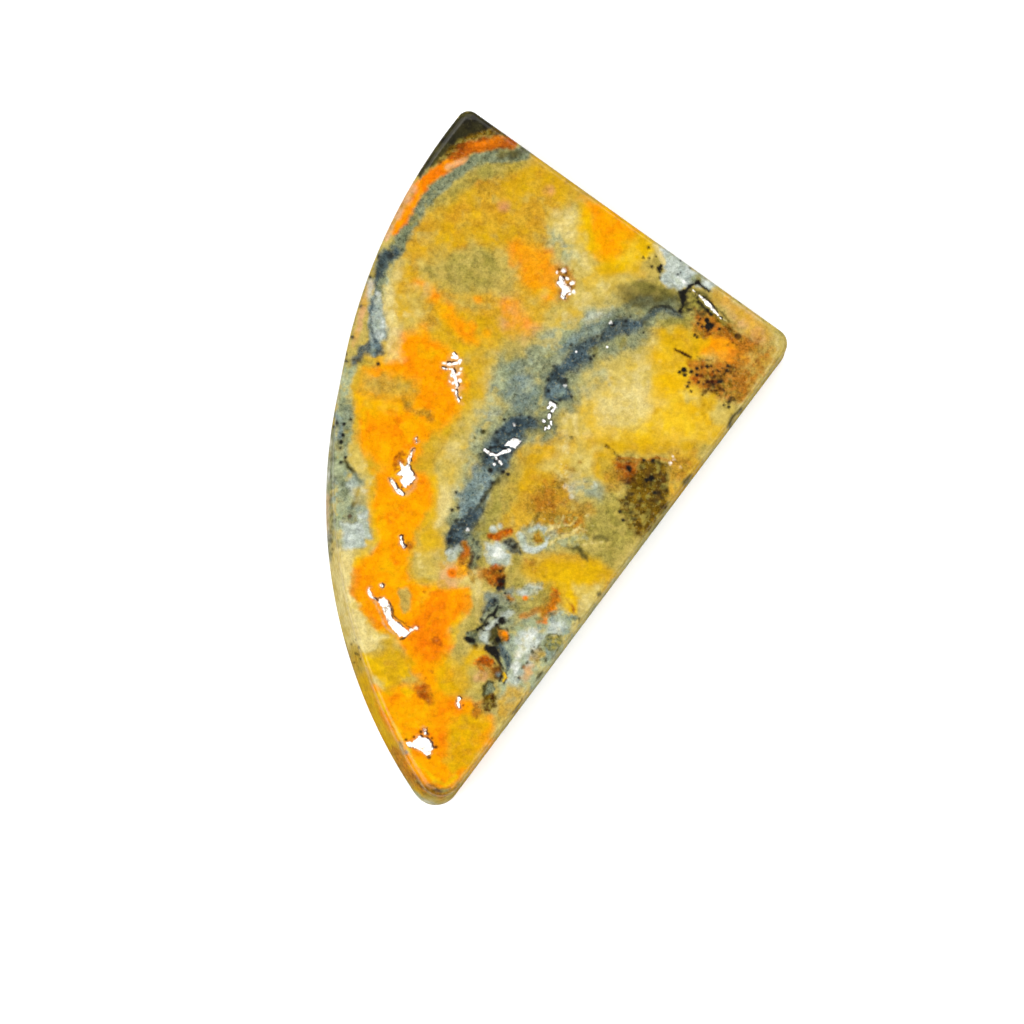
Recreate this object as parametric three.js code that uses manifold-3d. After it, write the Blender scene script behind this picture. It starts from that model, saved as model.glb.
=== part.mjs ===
import * as THREE from 'three';
import { mergeVertices } from 'three/addons/utils/BufferGeometryUtils.js';
import Module from 'manifold-3d';

// A freeform polished cabochon: a flat slab of banded orange, yellow and slate stone with one curved side,
// two straight sides that meet at a right angle, and small crystal-lined pits open on its polished face.
// Millimetres. The back lies on z = 0, +Y runs to the dark point, +X to the square corner.

// Heights
const EDGE_HEIGHT = 4.2;
const CROWN_RISE = 0.28;
const CROWN_POWER = 2.6;
const BACK_BEVEL = 0.22;
const SHOULDER_DROP = 0.36;

// Outline of the girdle, just above the bevel of the back
const GIRDLE = {
  arcCentre: [19.2, -2.2],
  arcRadius: 34.4,
  upperSide: 15.60,
  lowerSide: 7.57,
  pointRadius: 0.85,
  cornerRadius: 1.10,
  tipRadius: 1.60,
};

// Outline at the top of the side wall, where the shoulder begins: the curved wall leans in a little
const RIM = {
  arcCentre: [23.7, -0.80],
  arcRadius: 38.35,
  upperSide: 15.52,
  lowerSide: 7.62,
  pointRadius: 0.80,
  cornerRadius: 1.05,
  tipRadius: 1.40,
};

// Outline of the polished face, inside the rounded shoulder
const FACE = {
  arcCentre: [21.6, -0.67],
  arcRadius: 36.05,
  upperSide: 15.23,
  lowerSide: 7.32,
  pointRadius: 0.60,
  cornerRadius: 0.75,
  tipRadius: 1.10,
};
const LEAST_ROUND = 0.2;

// Directions that the two straight sides face, in degrees from +X
const UPPER_SIDE_FACES = 54.0;
const LOWER_SIDE_FACES = -36.8;

// The highest spot of the low crown
const CROWN_CENTRE = new THREE.Vector2(-2.5, 3.0);

// Steps around the outline and up the crown
const ARC_STEPS = 44;
const STRAIGHT_STEPS = 14;
const CORNER_STEPS = 6;
const SHOULDER_STEPS = 4;
const CROWN_SCALES = [0.93, 0.8, 0.62, 0.42, 0.2];

// Pits in the polished face: each is a chain of stations [x, y, half-width], and every stretch between two
// stations is one long lobe; all the lobes of a pit are cut to its depth
const PITS = [
  {
    name: 'bent slot',
    depth: 0.75,
    chain: [
      [-11.42, -9.10, 0.24], [-11.12, -9.80, 0.20], [-10.84, -10.50, 0.24], [-10.40, -11.04, 0.36],
      [-9.90, -11.34, 0.38],
    ],
  },
  {
    name: 'cavity near the tip',
    depth: 0.80,
    chain: [[-9.86, -18.78, 0.16], [-9.30, -18.66, 0.36], [-8.78, -18.38, 0.46], [-8.36, -18.94, 0.42]],
  },
  {
    name: 'cavity at the middle of the curved side',
    depth: 0.85,
    chain: [[-10.18, -0.42, 0.40], [-9.72, -0.82, 0.46], [-9.78, -1.40, 0.42], [-10.08, -1.90, 0.26]],
  },
  {
    name: 'western arm of that cavity',
    depth: 0.50,
    chain: [[-10.64, -1.20, 0.20], [-10.10, -1.00, 0.30]],
  },
  {
    name: 'northern arm of that cavity',
    depth: 0.40,
    chain: [[-9.70, -0.30, 0.24], [-9.50, 0.40, 0.17], [-9.18, 1.22, 0.12]],
  },
  {
    name: 'oval cavity below the upper side',
    depth: 0.85,
    chain: [[0.30, 12.06, 0.34], [0.44, 11.42, 0.54], [0.68, 10.84, 0.36]],
  },
  {
    name: 'sugary patch',
    depth: 0.26,
    chain: [
      [-6.96, 6.70, 0.22], [-6.60, 6.20, 0.28], [-6.86, 5.62, 0.28], [-6.44, 5.20, 0.24],
      [-6.68, 4.76, 0.18],
    ],
  },
  {
    name: 'forked crevice in the dark vein',
    depth: 0.55,
    chain: [[-2.34, 1.28, 0.20], [-3.30, 0.84, 0.26], [-4.34, 0.34, 0.18], [-3.62, -0.38, 0.14]],
  },
  {
    name: 'crystals in the dark vein',
    depth: 0.45,
    chain: [[-0.18, 3.52, 0.18], [-0.46, 2.92, 0.28], [-0.98, 2.06, 0.16]],
  },
  {
    name: 'seam beside the square corner',
    depth: 0.50,
    chain: [
      [8.86, 11.40, 0.12], [9.62, 10.58, 0.20], [10.36, 9.80, 0.28], [11.10, 8.98, 0.18],
      [11.86, 8.18, 0.14],
    ],
  },
  {
    name: 'small pit on the orange band',
    depth: 0.45,
    chain: [[-9.92, -5.52, 0.24], [-9.34, -5.56, 0.24]],
  },
  {
    name: 'pinhole above the tip',
    depth: 0.35,
    chain: [[-6.34, -15.78, 0.15], [-6.42, -16.12, 0.15]],
  },
];

const LOBE_DETAIL = 1;
const LOBE_ROLL = 0.9;
const LOBE_FULLNESS = 1.15;
const WELD_DISTANCE = 1e-4;

// Outline

function facing(degrees) {
  const angle = THREE.MathUtils.degToRad(degrees);
  return new THREE.Vector2(Math.cos(angle), Math.sin(angle));
}

const upperNormal = facing(UPPER_SIDE_FACES);
const lowerNormal = facing(LOWER_SIDE_FACES);

// The outline part of the way from one level's outline to another's
function outlineBetween(low, high, share) {
  const outline = {};
  for (const key of Object.keys(low)) {
    outline[key] = THREE.MathUtils.lerp(low[key], high[key], share);
  }
  outline.arcCentre = low.arcCentre.map((value, i) => THREE.MathUtils.lerp(value, high.arcCentre[i], share));
  return outline;
}

// The outline with every side moved in by an inset
function drawnIn(outline, inset) {
  const smaller = { ...outline };
  for (const key of ['arcRadius', 'upperSide', 'lowerSide']) {
    smaller[key] -= inset;
  }
  for (const key of ['pointRadius', 'cornerRadius', 'tipRadius']) {
    smaller[key] = Math.max(outline[key] - inset, LEAST_ROUND);
  }
  return smaller;
}

// The centre of a round corner between the arc and a straight side: `reach` picks the end of the side
function roundAtArc(outline, normal, distance, round, reach) {
  const centre = new THREE.Vector2(...outline.arcCentre);
  const along = new THREE.Vector2(-normal.y, normal.x).multiplyScalar(reach);
  const offset = distance - round - normal.dot(centre);
  const span = Math.sqrt((outline.arcRadius - round) ** 2 - offset ** 2);
  return centre.addScaledVector(normal, offset).addScaledVector(along, span);
}

function roundAtSquareCorner(outline, round) {
  const turn = upperNormal.cross(lowerNormal);
  const a = outline.upperSide - round;
  const b = outline.lowerSide - round;
  return new THREE.Vector2(
    (a * lowerNormal.y - b * upperNormal.y) / turn,
    (b * upperNormal.x - a * lowerNormal.x) / turn,
  );
}

function pushArc(points, centre, radius, from, to, steps) {
  for (let i = 0; i < steps; i++) {
    const angle = THREE.MathUtils.lerp(from, to, i / steps);
    points.push(new THREE.Vector2(
      centre.x + radius * Math.cos(angle),
      centre.y + radius * Math.sin(angle),
    ));
  }
}

function pushStraight(points, from, to, steps) {
  for (let i = 0; i < steps; i++) {
    points.push(from.clone().lerp(to, i / steps));
  }
}

// One closed ring, counter-clockwise: lower side, square corner, upper side, point, curved side, tip
function ring(outline) {
  const { pointRadius: point, cornerRadius: corner, tipRadius: tip } = outline;
  const arcCentre = new THREE.Vector2(...outline.arcCentre);
  const pointCentre = roundAtArc(outline, upperNormal, outline.upperSide, point, 1);
  const tipCentre = roundAtArc(outline, lowerNormal, outline.lowerSide, tip, -1);
  const cornerCentre = roundAtSquareCorner(outline, corner);
  const outward = (centre) => centre.clone().sub(arcCentre).angle();
  const upperAngle = THREE.MathUtils.degToRad(UPPER_SIDE_FACES);
  const lowerAngle = THREE.MathUtils.degToRad(LOWER_SIDE_FACES);
  const pointAngle = outward(pointCentre);
  const tipAngle = outward(tipCentre);
  const points = [];
  pushStraight(
    points,
    tipCentre.clone().addScaledVector(lowerNormal, tip),
    cornerCentre.clone().addScaledVector(lowerNormal, corner),
    STRAIGHT_STEPS,
  );
  pushArc(points, cornerCentre, corner, lowerAngle, upperAngle, CORNER_STEPS);
  pushStraight(
    points,
    cornerCentre.clone().addScaledVector(upperNormal, corner),
    pointCentre.clone().addScaledVector(upperNormal, point),
    STRAIGHT_STEPS,
  );
  pushArc(points, pointCentre, point, upperAngle, pointAngle, CORNER_STEPS);
  pushArc(points, arcCentre, outline.arcRadius, pointAngle, tipAngle, ARC_STEPS);
  pushArc(points, tipCentre, tip, tipAngle, lowerAngle + 2 * Math.PI, CORNER_STEPS);
  return points;
}

// Crown: how far out a place lies, 0 at the crown's centre and 1 at the edge of the polished face
function reachOfFace(x, y) {
  const ray = new THREE.Vector2(x, y).sub(CROWN_CENTRE);
  const upperReach = upperNormal.dot(ray) / (FACE.upperSide - upperNormal.dot(CROWN_CENTRE));
  const lowerReach = lowerNormal.dot(ray) / (FACE.lowerSide - lowerNormal.dot(CROWN_CENTRE));
  const back = CROWN_CENTRE.clone().sub(new THREE.Vector2(...FACE.arcCentre));
  const half = back.dot(ray);
  const room = FACE.arcRadius ** 2 - back.lengthSq();
  const arcReach = (half + Math.sqrt(half ** 2 + room * ray.lengthSq())) / room;
  return Math.max(upperReach, lowerReach, arcReach);
}

function crownHeight(reach) {
  return EDGE_HEIGHT + CROWN_RISE * (1 - reach ** CROWN_POWER);
}

// Levels from the back to the crown, each a ring of points with its height
function levels() {
  const rings = [
    { points: ring(drawnIn(GIRDLE, BACK_BEVEL)), z: 0 },
    { points: ring(GIRDLE), z: BACK_BEVEL },
    { points: ring(outlineBetween(GIRDLE, RIM, 0.5)), z: (BACK_BEVEL + EDGE_HEIGHT - SHOULDER_DROP) / 2 },
  ];
  for (let i = 0; i <= SHOULDER_STEPS; i++) {
    const angle = (i / SHOULDER_STEPS) * (Math.PI / 2);
    rings.push({
      points: ring(outlineBetween(RIM, FACE, 1 - Math.cos(angle))),
      z: EDGE_HEIGHT - SHOULDER_DROP * (1 - Math.sin(angle)),
    });
  }
  const face = ring(FACE);
  for (const scale of CROWN_SCALES) {
    rings.push({
      points: face.map((p) => p.clone().sub(CROWN_CENTRE).multiplyScalar(scale).add(CROWN_CENTRE)),
      z: crownHeight(scale),
    });
  }
  return rings;
}

function slab() {
  const rings = levels();
  const count = rings[0].points.length;
  const positions = [];
  for (const { points, z } of rings) {
    for (const p of points) {
      positions.push(p.x, p.y, z);
    }
  }
  const backCentre = rings.length * count;
  positions.push(CROWN_CENTRE.x, CROWN_CENTRE.y, 0);
  const crownTop = backCentre + 1;
  positions.push(CROWN_CENTRE.x, CROWN_CENTRE.y, crownHeight(0));
  const index = [];
  for (let i = 0; i < count; i++) {
    const next = (i + 1) % count;
    index.push(backCentre, next, i);
    for (let level = 0; level + 1 < rings.length; level++) {
      const low = level * count;
      const high = low + count;
      index.push(low + i, low + next, high + next);
      index.push(low + i, high + next, high + i);
    }
    const last = (rings.length - 1) * count;
    index.push(last + i, last + next, crownTop);
  }
  const geometry = new THREE.BufferGeometry();
  geometry.setAttribute('position', new THREE.Float32BufferAttribute(positions, 3));
  geometry.setIndex(index);
  return geometry;
}

// Pits

// The faceted lobe between two stations, rolled differently from its neighbours so that the walls look broken
function lobe([startX, startY, startWidth], [endX, endY, endWidth], depth, order) {
  const halfWidth = (startWidth + endWidth) / 2;
  const length = Math.hypot(endX - startX, endY - startY);
  const x = (startX + endX) / 2;
  const y = (startY + endY) / 2;
  const geometry = new THREE.IcosahedronGeometry(1, LOBE_DETAIL);
  geometry.rotateX(order * LOBE_ROLL);
  geometry.scale(length / 2 + halfWidth, halfWidth * LOBE_FULLNESS, depth);
  geometry.rotateZ(Math.atan2(endY - startY, endX - startX));
  geometry.translate(x, y, crownHeight(reachOfFace(x, y)));
  return geometry;
}

const wasm = await Module();
wasm.setup();

function solidOf(geometry) {
  const bare = geometry.clone();
  bare.deleteAttribute('normal');
  bare.deleteAttribute('uv');
  const merged = mergeVertices(bare, WELD_DISTANCE);
  return new wasm.Manifold(new wasm.Mesh({
    numProp: 3,
    vertProperties: new Float32Array(merged.attributes.position.array),
    triVerts: new Uint32Array(merged.index.array),
  }));
}

function geometryOf(solid) {
  const mesh = solid.getMesh();
  const geometry = new THREE.BufferGeometry();
  geometry.setAttribute('position', new THREE.BufferAttribute(mesh.vertProperties, 3));
  geometry.setIndex(new THREE.BufferAttribute(mesh.triVerts, 1));
  geometry.computeVertexNormals();
  return geometry;
}

function pittedStone() {
  let stone = solidOf(slab());
  for (const pit of PITS) {
    for (let i = 0; i + 1 < pit.chain.length; i++) {
      stone = stone.subtract(solidOf(lobe(pit.chain[i], pit.chain[i + 1], pit.depth, i)));
    }
  }
  return geometryOf(stone);
}

// The stone, moved so that the middle of its box is over the origin

const stoneGeometry = pittedStone();
stoneGeometry.computeBoundingBox();
const middle = stoneGeometry.boundingBox.getCenter(new THREE.Vector3());
stoneGeometry.translate(-middle.x, -middle.y, 0);

const cabochon = new THREE.Mesh(
  stoneGeometry,
  new THREE.MeshStandardMaterial({ color: 0xe3a424, roughness: 0.15, metalness: 0 }),
);
cabochon.name = 'cabochon';

const part = new THREE.Group();
part.add(cabochon);

export default part;
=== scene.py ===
"""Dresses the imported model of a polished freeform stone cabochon.

The stone is a flat slab with one curved and two straight sides. Its face is polished and shows orange,
yellow and ochre fields, a slate vein, white calcite and small crystal-lined pits. Lengths of the stone are
in millimetres until a mesh is made, and in metres from there on. Markings and pits are placed in pixels of
the photograph's 1024 by 1024 frame.
"""

import logging
import math
from collections.abc import Callable
from dataclasses import dataclass, field, replace
from enum import Enum

import bmesh
import bpy
import numpy as np
from mathutils import Color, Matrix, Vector
from mathutils.geometry import delaunay_2d_cdt


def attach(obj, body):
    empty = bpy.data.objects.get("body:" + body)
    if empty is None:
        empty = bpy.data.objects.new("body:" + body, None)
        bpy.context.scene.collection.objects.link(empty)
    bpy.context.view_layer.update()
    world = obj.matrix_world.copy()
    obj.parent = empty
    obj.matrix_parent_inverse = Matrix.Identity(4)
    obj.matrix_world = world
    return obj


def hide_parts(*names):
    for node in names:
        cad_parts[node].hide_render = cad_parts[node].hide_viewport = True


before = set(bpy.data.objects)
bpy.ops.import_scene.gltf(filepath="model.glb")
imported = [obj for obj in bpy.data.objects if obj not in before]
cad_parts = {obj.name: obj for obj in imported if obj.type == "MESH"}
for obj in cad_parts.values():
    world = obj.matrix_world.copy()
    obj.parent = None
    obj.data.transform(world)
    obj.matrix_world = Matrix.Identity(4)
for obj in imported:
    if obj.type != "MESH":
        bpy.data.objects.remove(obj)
LOG = logging.getLogger("cabochon")
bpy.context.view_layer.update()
MM = 0.001
WALL_POLISH = 0.8
LEAST_RUN = 1e-12

Socket = bpy.types.NodeSocket
Sockets = dict[int | str, object]

# Colours and markings


@dataclass(frozen=True)
class Mineral:
    """Two sRGB colours that a tone wanders between, and how grainy it is."""

    main: tuple[int, int, int]
    second: tuple[int, int, int]
    grain: float


class Tone(Enum):
    """The colours that the stone shows."""

    KHAKI = Mineral((200, 178, 94), (180, 158, 76), 0.5)
    STRAW = Mineral((222, 198, 106), (208, 178, 76), 0.35)
    CREAM = Mineral((236, 218, 146), (222, 198, 122), 0.45)
    PEACH = Mineral((232, 180, 128), (216, 164, 104), 0.4)
    ROSE = Mineral((216, 146, 92), (232, 160, 116), 0.4)
    OCHRE = Mineral((216, 170, 48), (204, 150, 34), 0.5)
    GOLD = Mineral((224, 178, 14), (210, 160, 12), 0.35)
    YELLOW = Mineral((246, 200, 8), (236, 182, 8), 0.25)
    ORANGE = Mineral((255, 166, 2), (250, 152, 4), 0.35)
    EMBER = Mineral((248, 134, 6), (240, 120, 8), 0.4)
    TAN = Mineral((190, 122, 36), (168, 100, 24), 0.8)
    MUSTARD = Mineral((184, 140, 44), (160, 120, 32), 0.9)
    OLIVE = Mineral((170, 156, 74), (148, 138, 58), 0.7)
    BRONZE = Mineral((80, 74, 36), (56, 54, 28), 0.5)
    SAGE = Mineral((180, 186, 146), (156, 166, 122), 0.6)
    MOSS = Mineral((138, 144, 112), (112, 120, 90), 0.9)
    CALCITE = Mineral((210, 217, 208), (182, 192, 176), 0.6)
    MIST = Mineral((128, 148, 148), (102, 124, 126), 0.9)
    SLATE = Mineral((74, 94, 104), (44, 60, 70), 1.0)
    INK = Mineral((22, 20, 20), (36, 34, 30), 0.4)
    RUST = Mineral((190, 96, 20), (156, 68, 10), 0.7)
    MAROON = Mineral((72, 30, 12), (48, 20, 10), 0.5)
    UMBER = Mineral((124, 92, 8), (94, 68, 6), 1.1)
    # The white tone is white calcite and also painted glare: in the cavity linings and the small white dots
    # it stands in for light glinting in hollows and on crystal faces, and along the left wall for a pale
    # sheen.
    CHALK_AND_GLARE = Mineral((255, 253, 250), (250, 246, 240), 0.2)

    def attribute(self) -> str:
        """The name under which a mesh keeps this tone's shares."""
        return f"tone_{self.name.lower()}"


class Form(Enum):
    """The forms of a marking, each with how much its edge is frayed."""

    STROKE = 0.5
    PATCH = 0.7
    SPOTS = 0.15
    GRAINS = 0.65


def ease(share: np.ndarray) -> np.ndarray:
    """A share from 0 to 1 with a smooth start and end."""
    return share * share * (3.0 - 2.0 * share)


@dataclass(frozen=True)
class Wander:
    """Smooth noise over the photograph's frame, from a seeded lattice that is shifted by its seed."""

    cell: float
    seed: int
    lattice: int = 256
    shift: tuple[float, float] = (0.37, 0.61)

    def at(self, across: np.ndarray, down: np.ndarray) -> np.ndarray:
        """Noise from -1 to 1.

        Args:
            across: Pixels across.
            down: Pixels down.

        Returns:
            One value for each place.
        """
        values = np.random.default_rng(self.seed).uniform(-1.0, 1.0, (self.lattice, self.lattice))
        u = across / self.cell + self.shift[0] * self.seed
        v = down / self.cell + self.shift[1] * self.seed
        column, row = np.floor(u).astype(int), np.floor(v).astype(int)
        du, dv = ease(u - column), ease(v - row)
        c0, c1 = column % self.lattice, (column + 1) % self.lattice
        r0, r1 = row % self.lattice, (row + 1) % self.lattice
        upper = values[r0, c0] * (1 - du) + values[r0, c1] * du
        lower = values[r1, c0] * (1 - du) + values[r1, c1] * du
        return upper * (1 - dv) + lower * dv


@dataclass(frozen=True)
class Marking:
    """One marking on the stone.

    A stroke follows its points, a patch fills the outline through them, spots are round and grains broken.
    The third number of a point is the stroke's half width or the spot's radius there. `soft` is half the
    width of the faded edge in pixels, and `strength` how much of what lies under the marking it covers.
    """

    tone: Tone
    form: Form
    points: list[tuple[float, ...]]
    soft: float
    strength: float

    def depth_inside(self, across: np.ndarray, down: np.ndarray) -> np.ndarray:
        """How far inside the marking each place lies.

        Args:
            across: Pixels across.
            down: Pixels down.

        Returns:
            The distance to the marking's edge in pixels, positive inside.
        """
        if self.form is Form.PATCH:
            return depth_in_outline(np.array(self.points, float), across, down)
        if self.form in (Form.SPOTS, Form.GRAINS):
            depths = [p[2] - np.hypot(across - p[0], down - p[1]) for p in self.points]
            return np.max(depths, axis=0)
        best = np.full(across.shape, -np.inf)
        for (x0, y0, r0), (x1, y1, r1) in zip(self.points, self.points[1:]):
            away, along = away_from_run(across, down, x0, y0, x1, y1)
            best = np.maximum(best, r0 + along * (r1 - r0) - away)
        return best

    def cover(self, across: np.ndarray, down: np.ndarray, fray: np.ndarray) -> np.ndarray:
        """How much of each place the marking covers.

        Args:
            across: Pixels across.
            down: Pixels down.
            fray: Noise from -1 to 1 that breaks the edge.

        Returns:
            Shares from 0 to the marking's strength.
        """
        edge = self.depth_inside(across, down) / self.soft + fray * self.form.value
        return self.strength * ease(np.clip(0.5 + 0.5 * edge, 0.0, 1.0))

    def span(self) -> tuple[float, float, float, float]:
        """The pixels that the marking can touch.

        Returns:
            The lowest and highest one across, and the lowest and highest one down.
        """
        widest = max([0.0] + [p[2] for p in self.points if len(p) > 2]) + 2.0 * self.soft
        across = [p[0] for p in self.points]
        down = [p[1] for p in self.points]
        return min(across) - widest, max(across) + widest, min(down) - widest, max(down) + widest


def away_from_run(
    across: np.ndarray, down: np.ndarray, x0: float, y0: float, x1: float, y1: float
) -> tuple[np.ndarray, np.ndarray]:
    """How far each place is from a straight run, and how far along it the nearest point lies.

    Args:
        across: First coordinates of the places.
        down: Second coordinates of the places.
        x0: The run's start, first coordinate.
        y0: The run's start, second coordinate.
        x1: The run's end, first coordinate.
        y1: The run's end, second coordinate.

    Returns:
        Distances, and shares of the run from 0 to 1.
    """
    run_x, run_y = x1 - x0, y1 - y0
    along = ((across - x0) * run_x + (down - y0) * run_y) / max(run_x**2 + run_y**2, LEAST_RUN)
    along = np.clip(along, 0.0, 1.0)
    return np.hypot(across - x0 - along * run_x, down - y0 - along * run_y), along


def depth_in_outline(outline: np.ndarray, across: np.ndarray, down: np.ndarray) -> np.ndarray:
    """How far inside a closed outline each place lies.

    Args:
        outline: The outline's corners, one row each.
        across: First coordinates of the places.
        down: Second coordinates of the places.

    Returns:
        The distance to the outline, positive inside.
    """
    nearest = np.full(across.shape, np.inf)
    inside = np.zeros(across.shape, bool)
    for (x0, y0), (x1, y1) in zip(outline, np.roll(outline, -1, axis=0)):
        nearest = np.minimum(nearest, away_from_run(across, down, x0, y0, x1, y1)[0])
        if y0 != y1:
            crosses = (down < y0) != (down < y1)
            inside ^= crosses & (across < x0 + (down - y0) * (x1 - x0) / (y1 - y0))
    return np.where(inside, nearest, -nearest)


def pairs(numbers: tuple[float, ...]) -> list[tuple[float, float]]:
    """The numbers two by two: pixels across and down."""
    return list(zip(numbers[::2], numbers[1::2]))


def triples(numbers: tuple[float, ...]) -> list[tuple[float, float, float]]:
    """The numbers three by three: pixels across and down, and a half width or radius."""
    return list(zip(numbers[::3], numbers[1::3], numbers[2::3]))


def stroke(tone: Tone, reach: float, soft: float, strength: float, *line: float) -> Marking:
    """A marking along a line of places, `reach` pixels to either side of it."""
    return Marking(tone, Form.STROKE, [(x, y, reach) for x, y in pairs(line)], soft, strength)


def taper(tone: Tone, soft: float, strength: float, *line: float) -> Marking:
    """A marking along a line of places, each with its own half width."""
    return Marking(tone, Form.STROKE, triples(line), soft, strength)


def patch(tone: Tone, soft: float, strength: float, *corners: float) -> Marking:
    """A marking that fills the outline through its corners."""
    return Marking(tone, Form.PATCH, pairs(corners), soft, strength)


def spots(tone: Tone, soft: float, strength: float, *middles: float) -> Marking:
    """Round markings of one colour, each a middle and a radius."""
    return Marking(tone, Form.SPOTS, triples(middles), soft, strength)


def sprinkle(
    tone: Tone, soft: float, strength: float, seed: int, count: int, least: float, most: float,
    *outline: float,
) -> Marking:
    """Broken grains strewn over an outline.

    Args:
        tone: Their colour.
        soft: Half the width of their faded edge.
        strength: How much they cover.
        seed: The start of the random numbers.
        count: How many are thrown; those outside the outline are left out.
        least: The smallest radius.
        most: The greatest radius.
        outline: The outline's corners.

    Returns:
        The marking.
    """
    corners = np.array(pairs(outline))
    chance = np.random.default_rng(seed)
    places = chance.uniform(corners.min(axis=0), corners.max(axis=0), (count, 2))
    radii = chance.uniform(least, most, count)
    kept = depth_in_outline(corners, places[:, 0], places[:, 1]) > 0.0
    grains = np.column_stack([places, radii])[kept]
    return Marking(tone, Form.GRAINS, [tuple(grain) for grain in grains.tolist()], soft, strength)


# Markings, from the first laid to the last

(
    KHAKI, STRAW, CREAM, PEACH, ROSE, OCHRE, GOLD, YELLOW, ORANGE, EMBER, TAN, MUSTARD, OLIVE, BRONZE, SAGE,
    MOSS, CALCITE, MIST, SLATE, INK, RUST, MAROON, UMBER, CHALK_AND_GLARE,
) = Tone

BROAD_FIELDS = (
    patch(OCHRE, 11, 1, 418, 218, 448, 192, 540, 160, 588, 190, 562, 212, 548, 250, 560, 300, 536, 338, 480,
        334, 436, 322, 400, 322, 380, 300),
    patch(GOLD, 9, 0.75, 506, 164, 556, 166, 582, 188, 560, 197, 518, 192),
    patch(GOLD, 9, 0.6, 416, 250, 440, 232, 474, 224, 512, 208, 520, 214, 486, 240),
    patch(KHAKI, 10, 0.85, 418, 262, 450, 250, 486, 244, 506, 254, 520, 276, 512, 300, 474, 296, 440, 290,
        420, 280),
    patch(OLIVE, 10, 0.7, 430, 268, 456, 254, 490, 250, 504, 262, 490, 284, 452, 286),
    patch(STRAW, 10, 1, 552, 214, 574, 208, 584, 222, 590, 250, 600, 266, 640, 272, 620, 300, 570, 334, 540,
        346, 540, 320, 566, 304, 560, 262, 548, 244),
    patch(CREAM, 8, 0.7, 556, 212, 576, 208, 582, 232, 566, 240),
    patch(SAGE, 8, 0.6, 542, 224, 562, 232, 582, 262, 560, 266, 544, 248),
    patch(STRAW, 9, 0.8, 378, 290, 396, 276, 400, 296, 396, 326, 382, 330),
    patch(KHAKI, 11, 0.85, 478, 350, 520, 338, 560, 336, 600, 300, 628, 300, 600, 336, 560, 352, 530, 400,
        490, 420, 460, 470, 446, 470, 480, 370),
    patch(SAGE, 10, 0.8, 500, 358, 560, 332, 584, 310, 614, 302, 632, 312, 560, 356, 540, 400, 484, 438,
        466, 500, 446, 524, 446, 490),
    patch(STRAW, 9, 0.75, 470, 380, 490, 352, 498, 362, 486, 400, 468, 436, 452, 500, 440, 530, 434, 500,
        444, 450, 462, 420),
    patch(STRAW, 13, 1, 566, 396, 600, 360, 640, 340, 690, 336, 740, 400, 700, 450, 620, 446, 600, 468, 560,
        474, 540, 456),
    patch(YELLOW, 12, 0.85, 664, 340, 706, 336, 700, 392, 728, 420, 714, 448, 600, 444, 590, 424, 640, 428,
        654, 400, 650, 366),
    patch(CREAM, 10, 0.75, 590, 400, 620, 384, 650, 386, 660, 400, 640, 418, 604, 422),
    patch(KHAKI, 8, 0.7, 600, 346, 634, 336, 650, 346, 620, 370, 596, 372),
    patch(GOLD, 9, 0.9, 656, 326, 700, 328, 724, 352, 690, 358, 660, 346),
    patch(GOLD, 6, 0.8, 584, 438, 700, 440, 694, 452, 590, 454),
    patch(OCHRE, 10, 0.95, 520, 452, 548, 436, 576, 444, 560, 462, 600, 480, 580, 500, 560, 530, 496, 530,
        506, 486),
    patch(GOLD, 8, 0.45, 524, 456, 548, 440, 556, 450, 512, 500, 508, 488),
    patch(STRAW, 8, 0.8, 556, 446, 600, 450, 604, 470, 572, 480, 546, 470),
    patch(SAGE, 8, 0.8, 560, 480, 590, 472, 608, 482, 600, 498, 574, 502),
    patch(OLIVE, 8, 0.75, 586, 500, 616, 494, 624, 524, 640, 536, 604, 566, 560, 560, 548, 540, 580, 532),
    patch(OLIVE, 8, 0.6, 516, 462, 490, 510, 496, 530, 514, 504),
    patch(OCHRE, 7, 0.9, 514, 558, 560, 552, 606, 560, 616, 582, 590, 602, 560, 604, 540, 588, 516, 576),
    patch(GOLD, 7, 0.9, 536, 564, 590, 560, 614, 572, 600, 592, 560, 594, 540, 580),
    patch(YELLOW, 6, 0.5, 560, 572, 590, 566, 606, 574, 590, 588, 564, 588),
    patch(STRAW, 6, 0.9, 572, 592, 602, 584, 592, 606, 576, 618),
    patch(SAGE, 7, 1, 506, 618, 590, 604, 530, 700, 496, 716),
    patch(SAGE, 8, 1, 328, 440, 352, 436, 360, 460, 374, 480, 366, 545, 340, 552, 324, 500),
    patch(CREAM, 8, 0.9, 326, 540, 352, 546, 350, 600, 364, 626, 390, 640, 366, 650, 344, 650, 330, 600),
)
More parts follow.
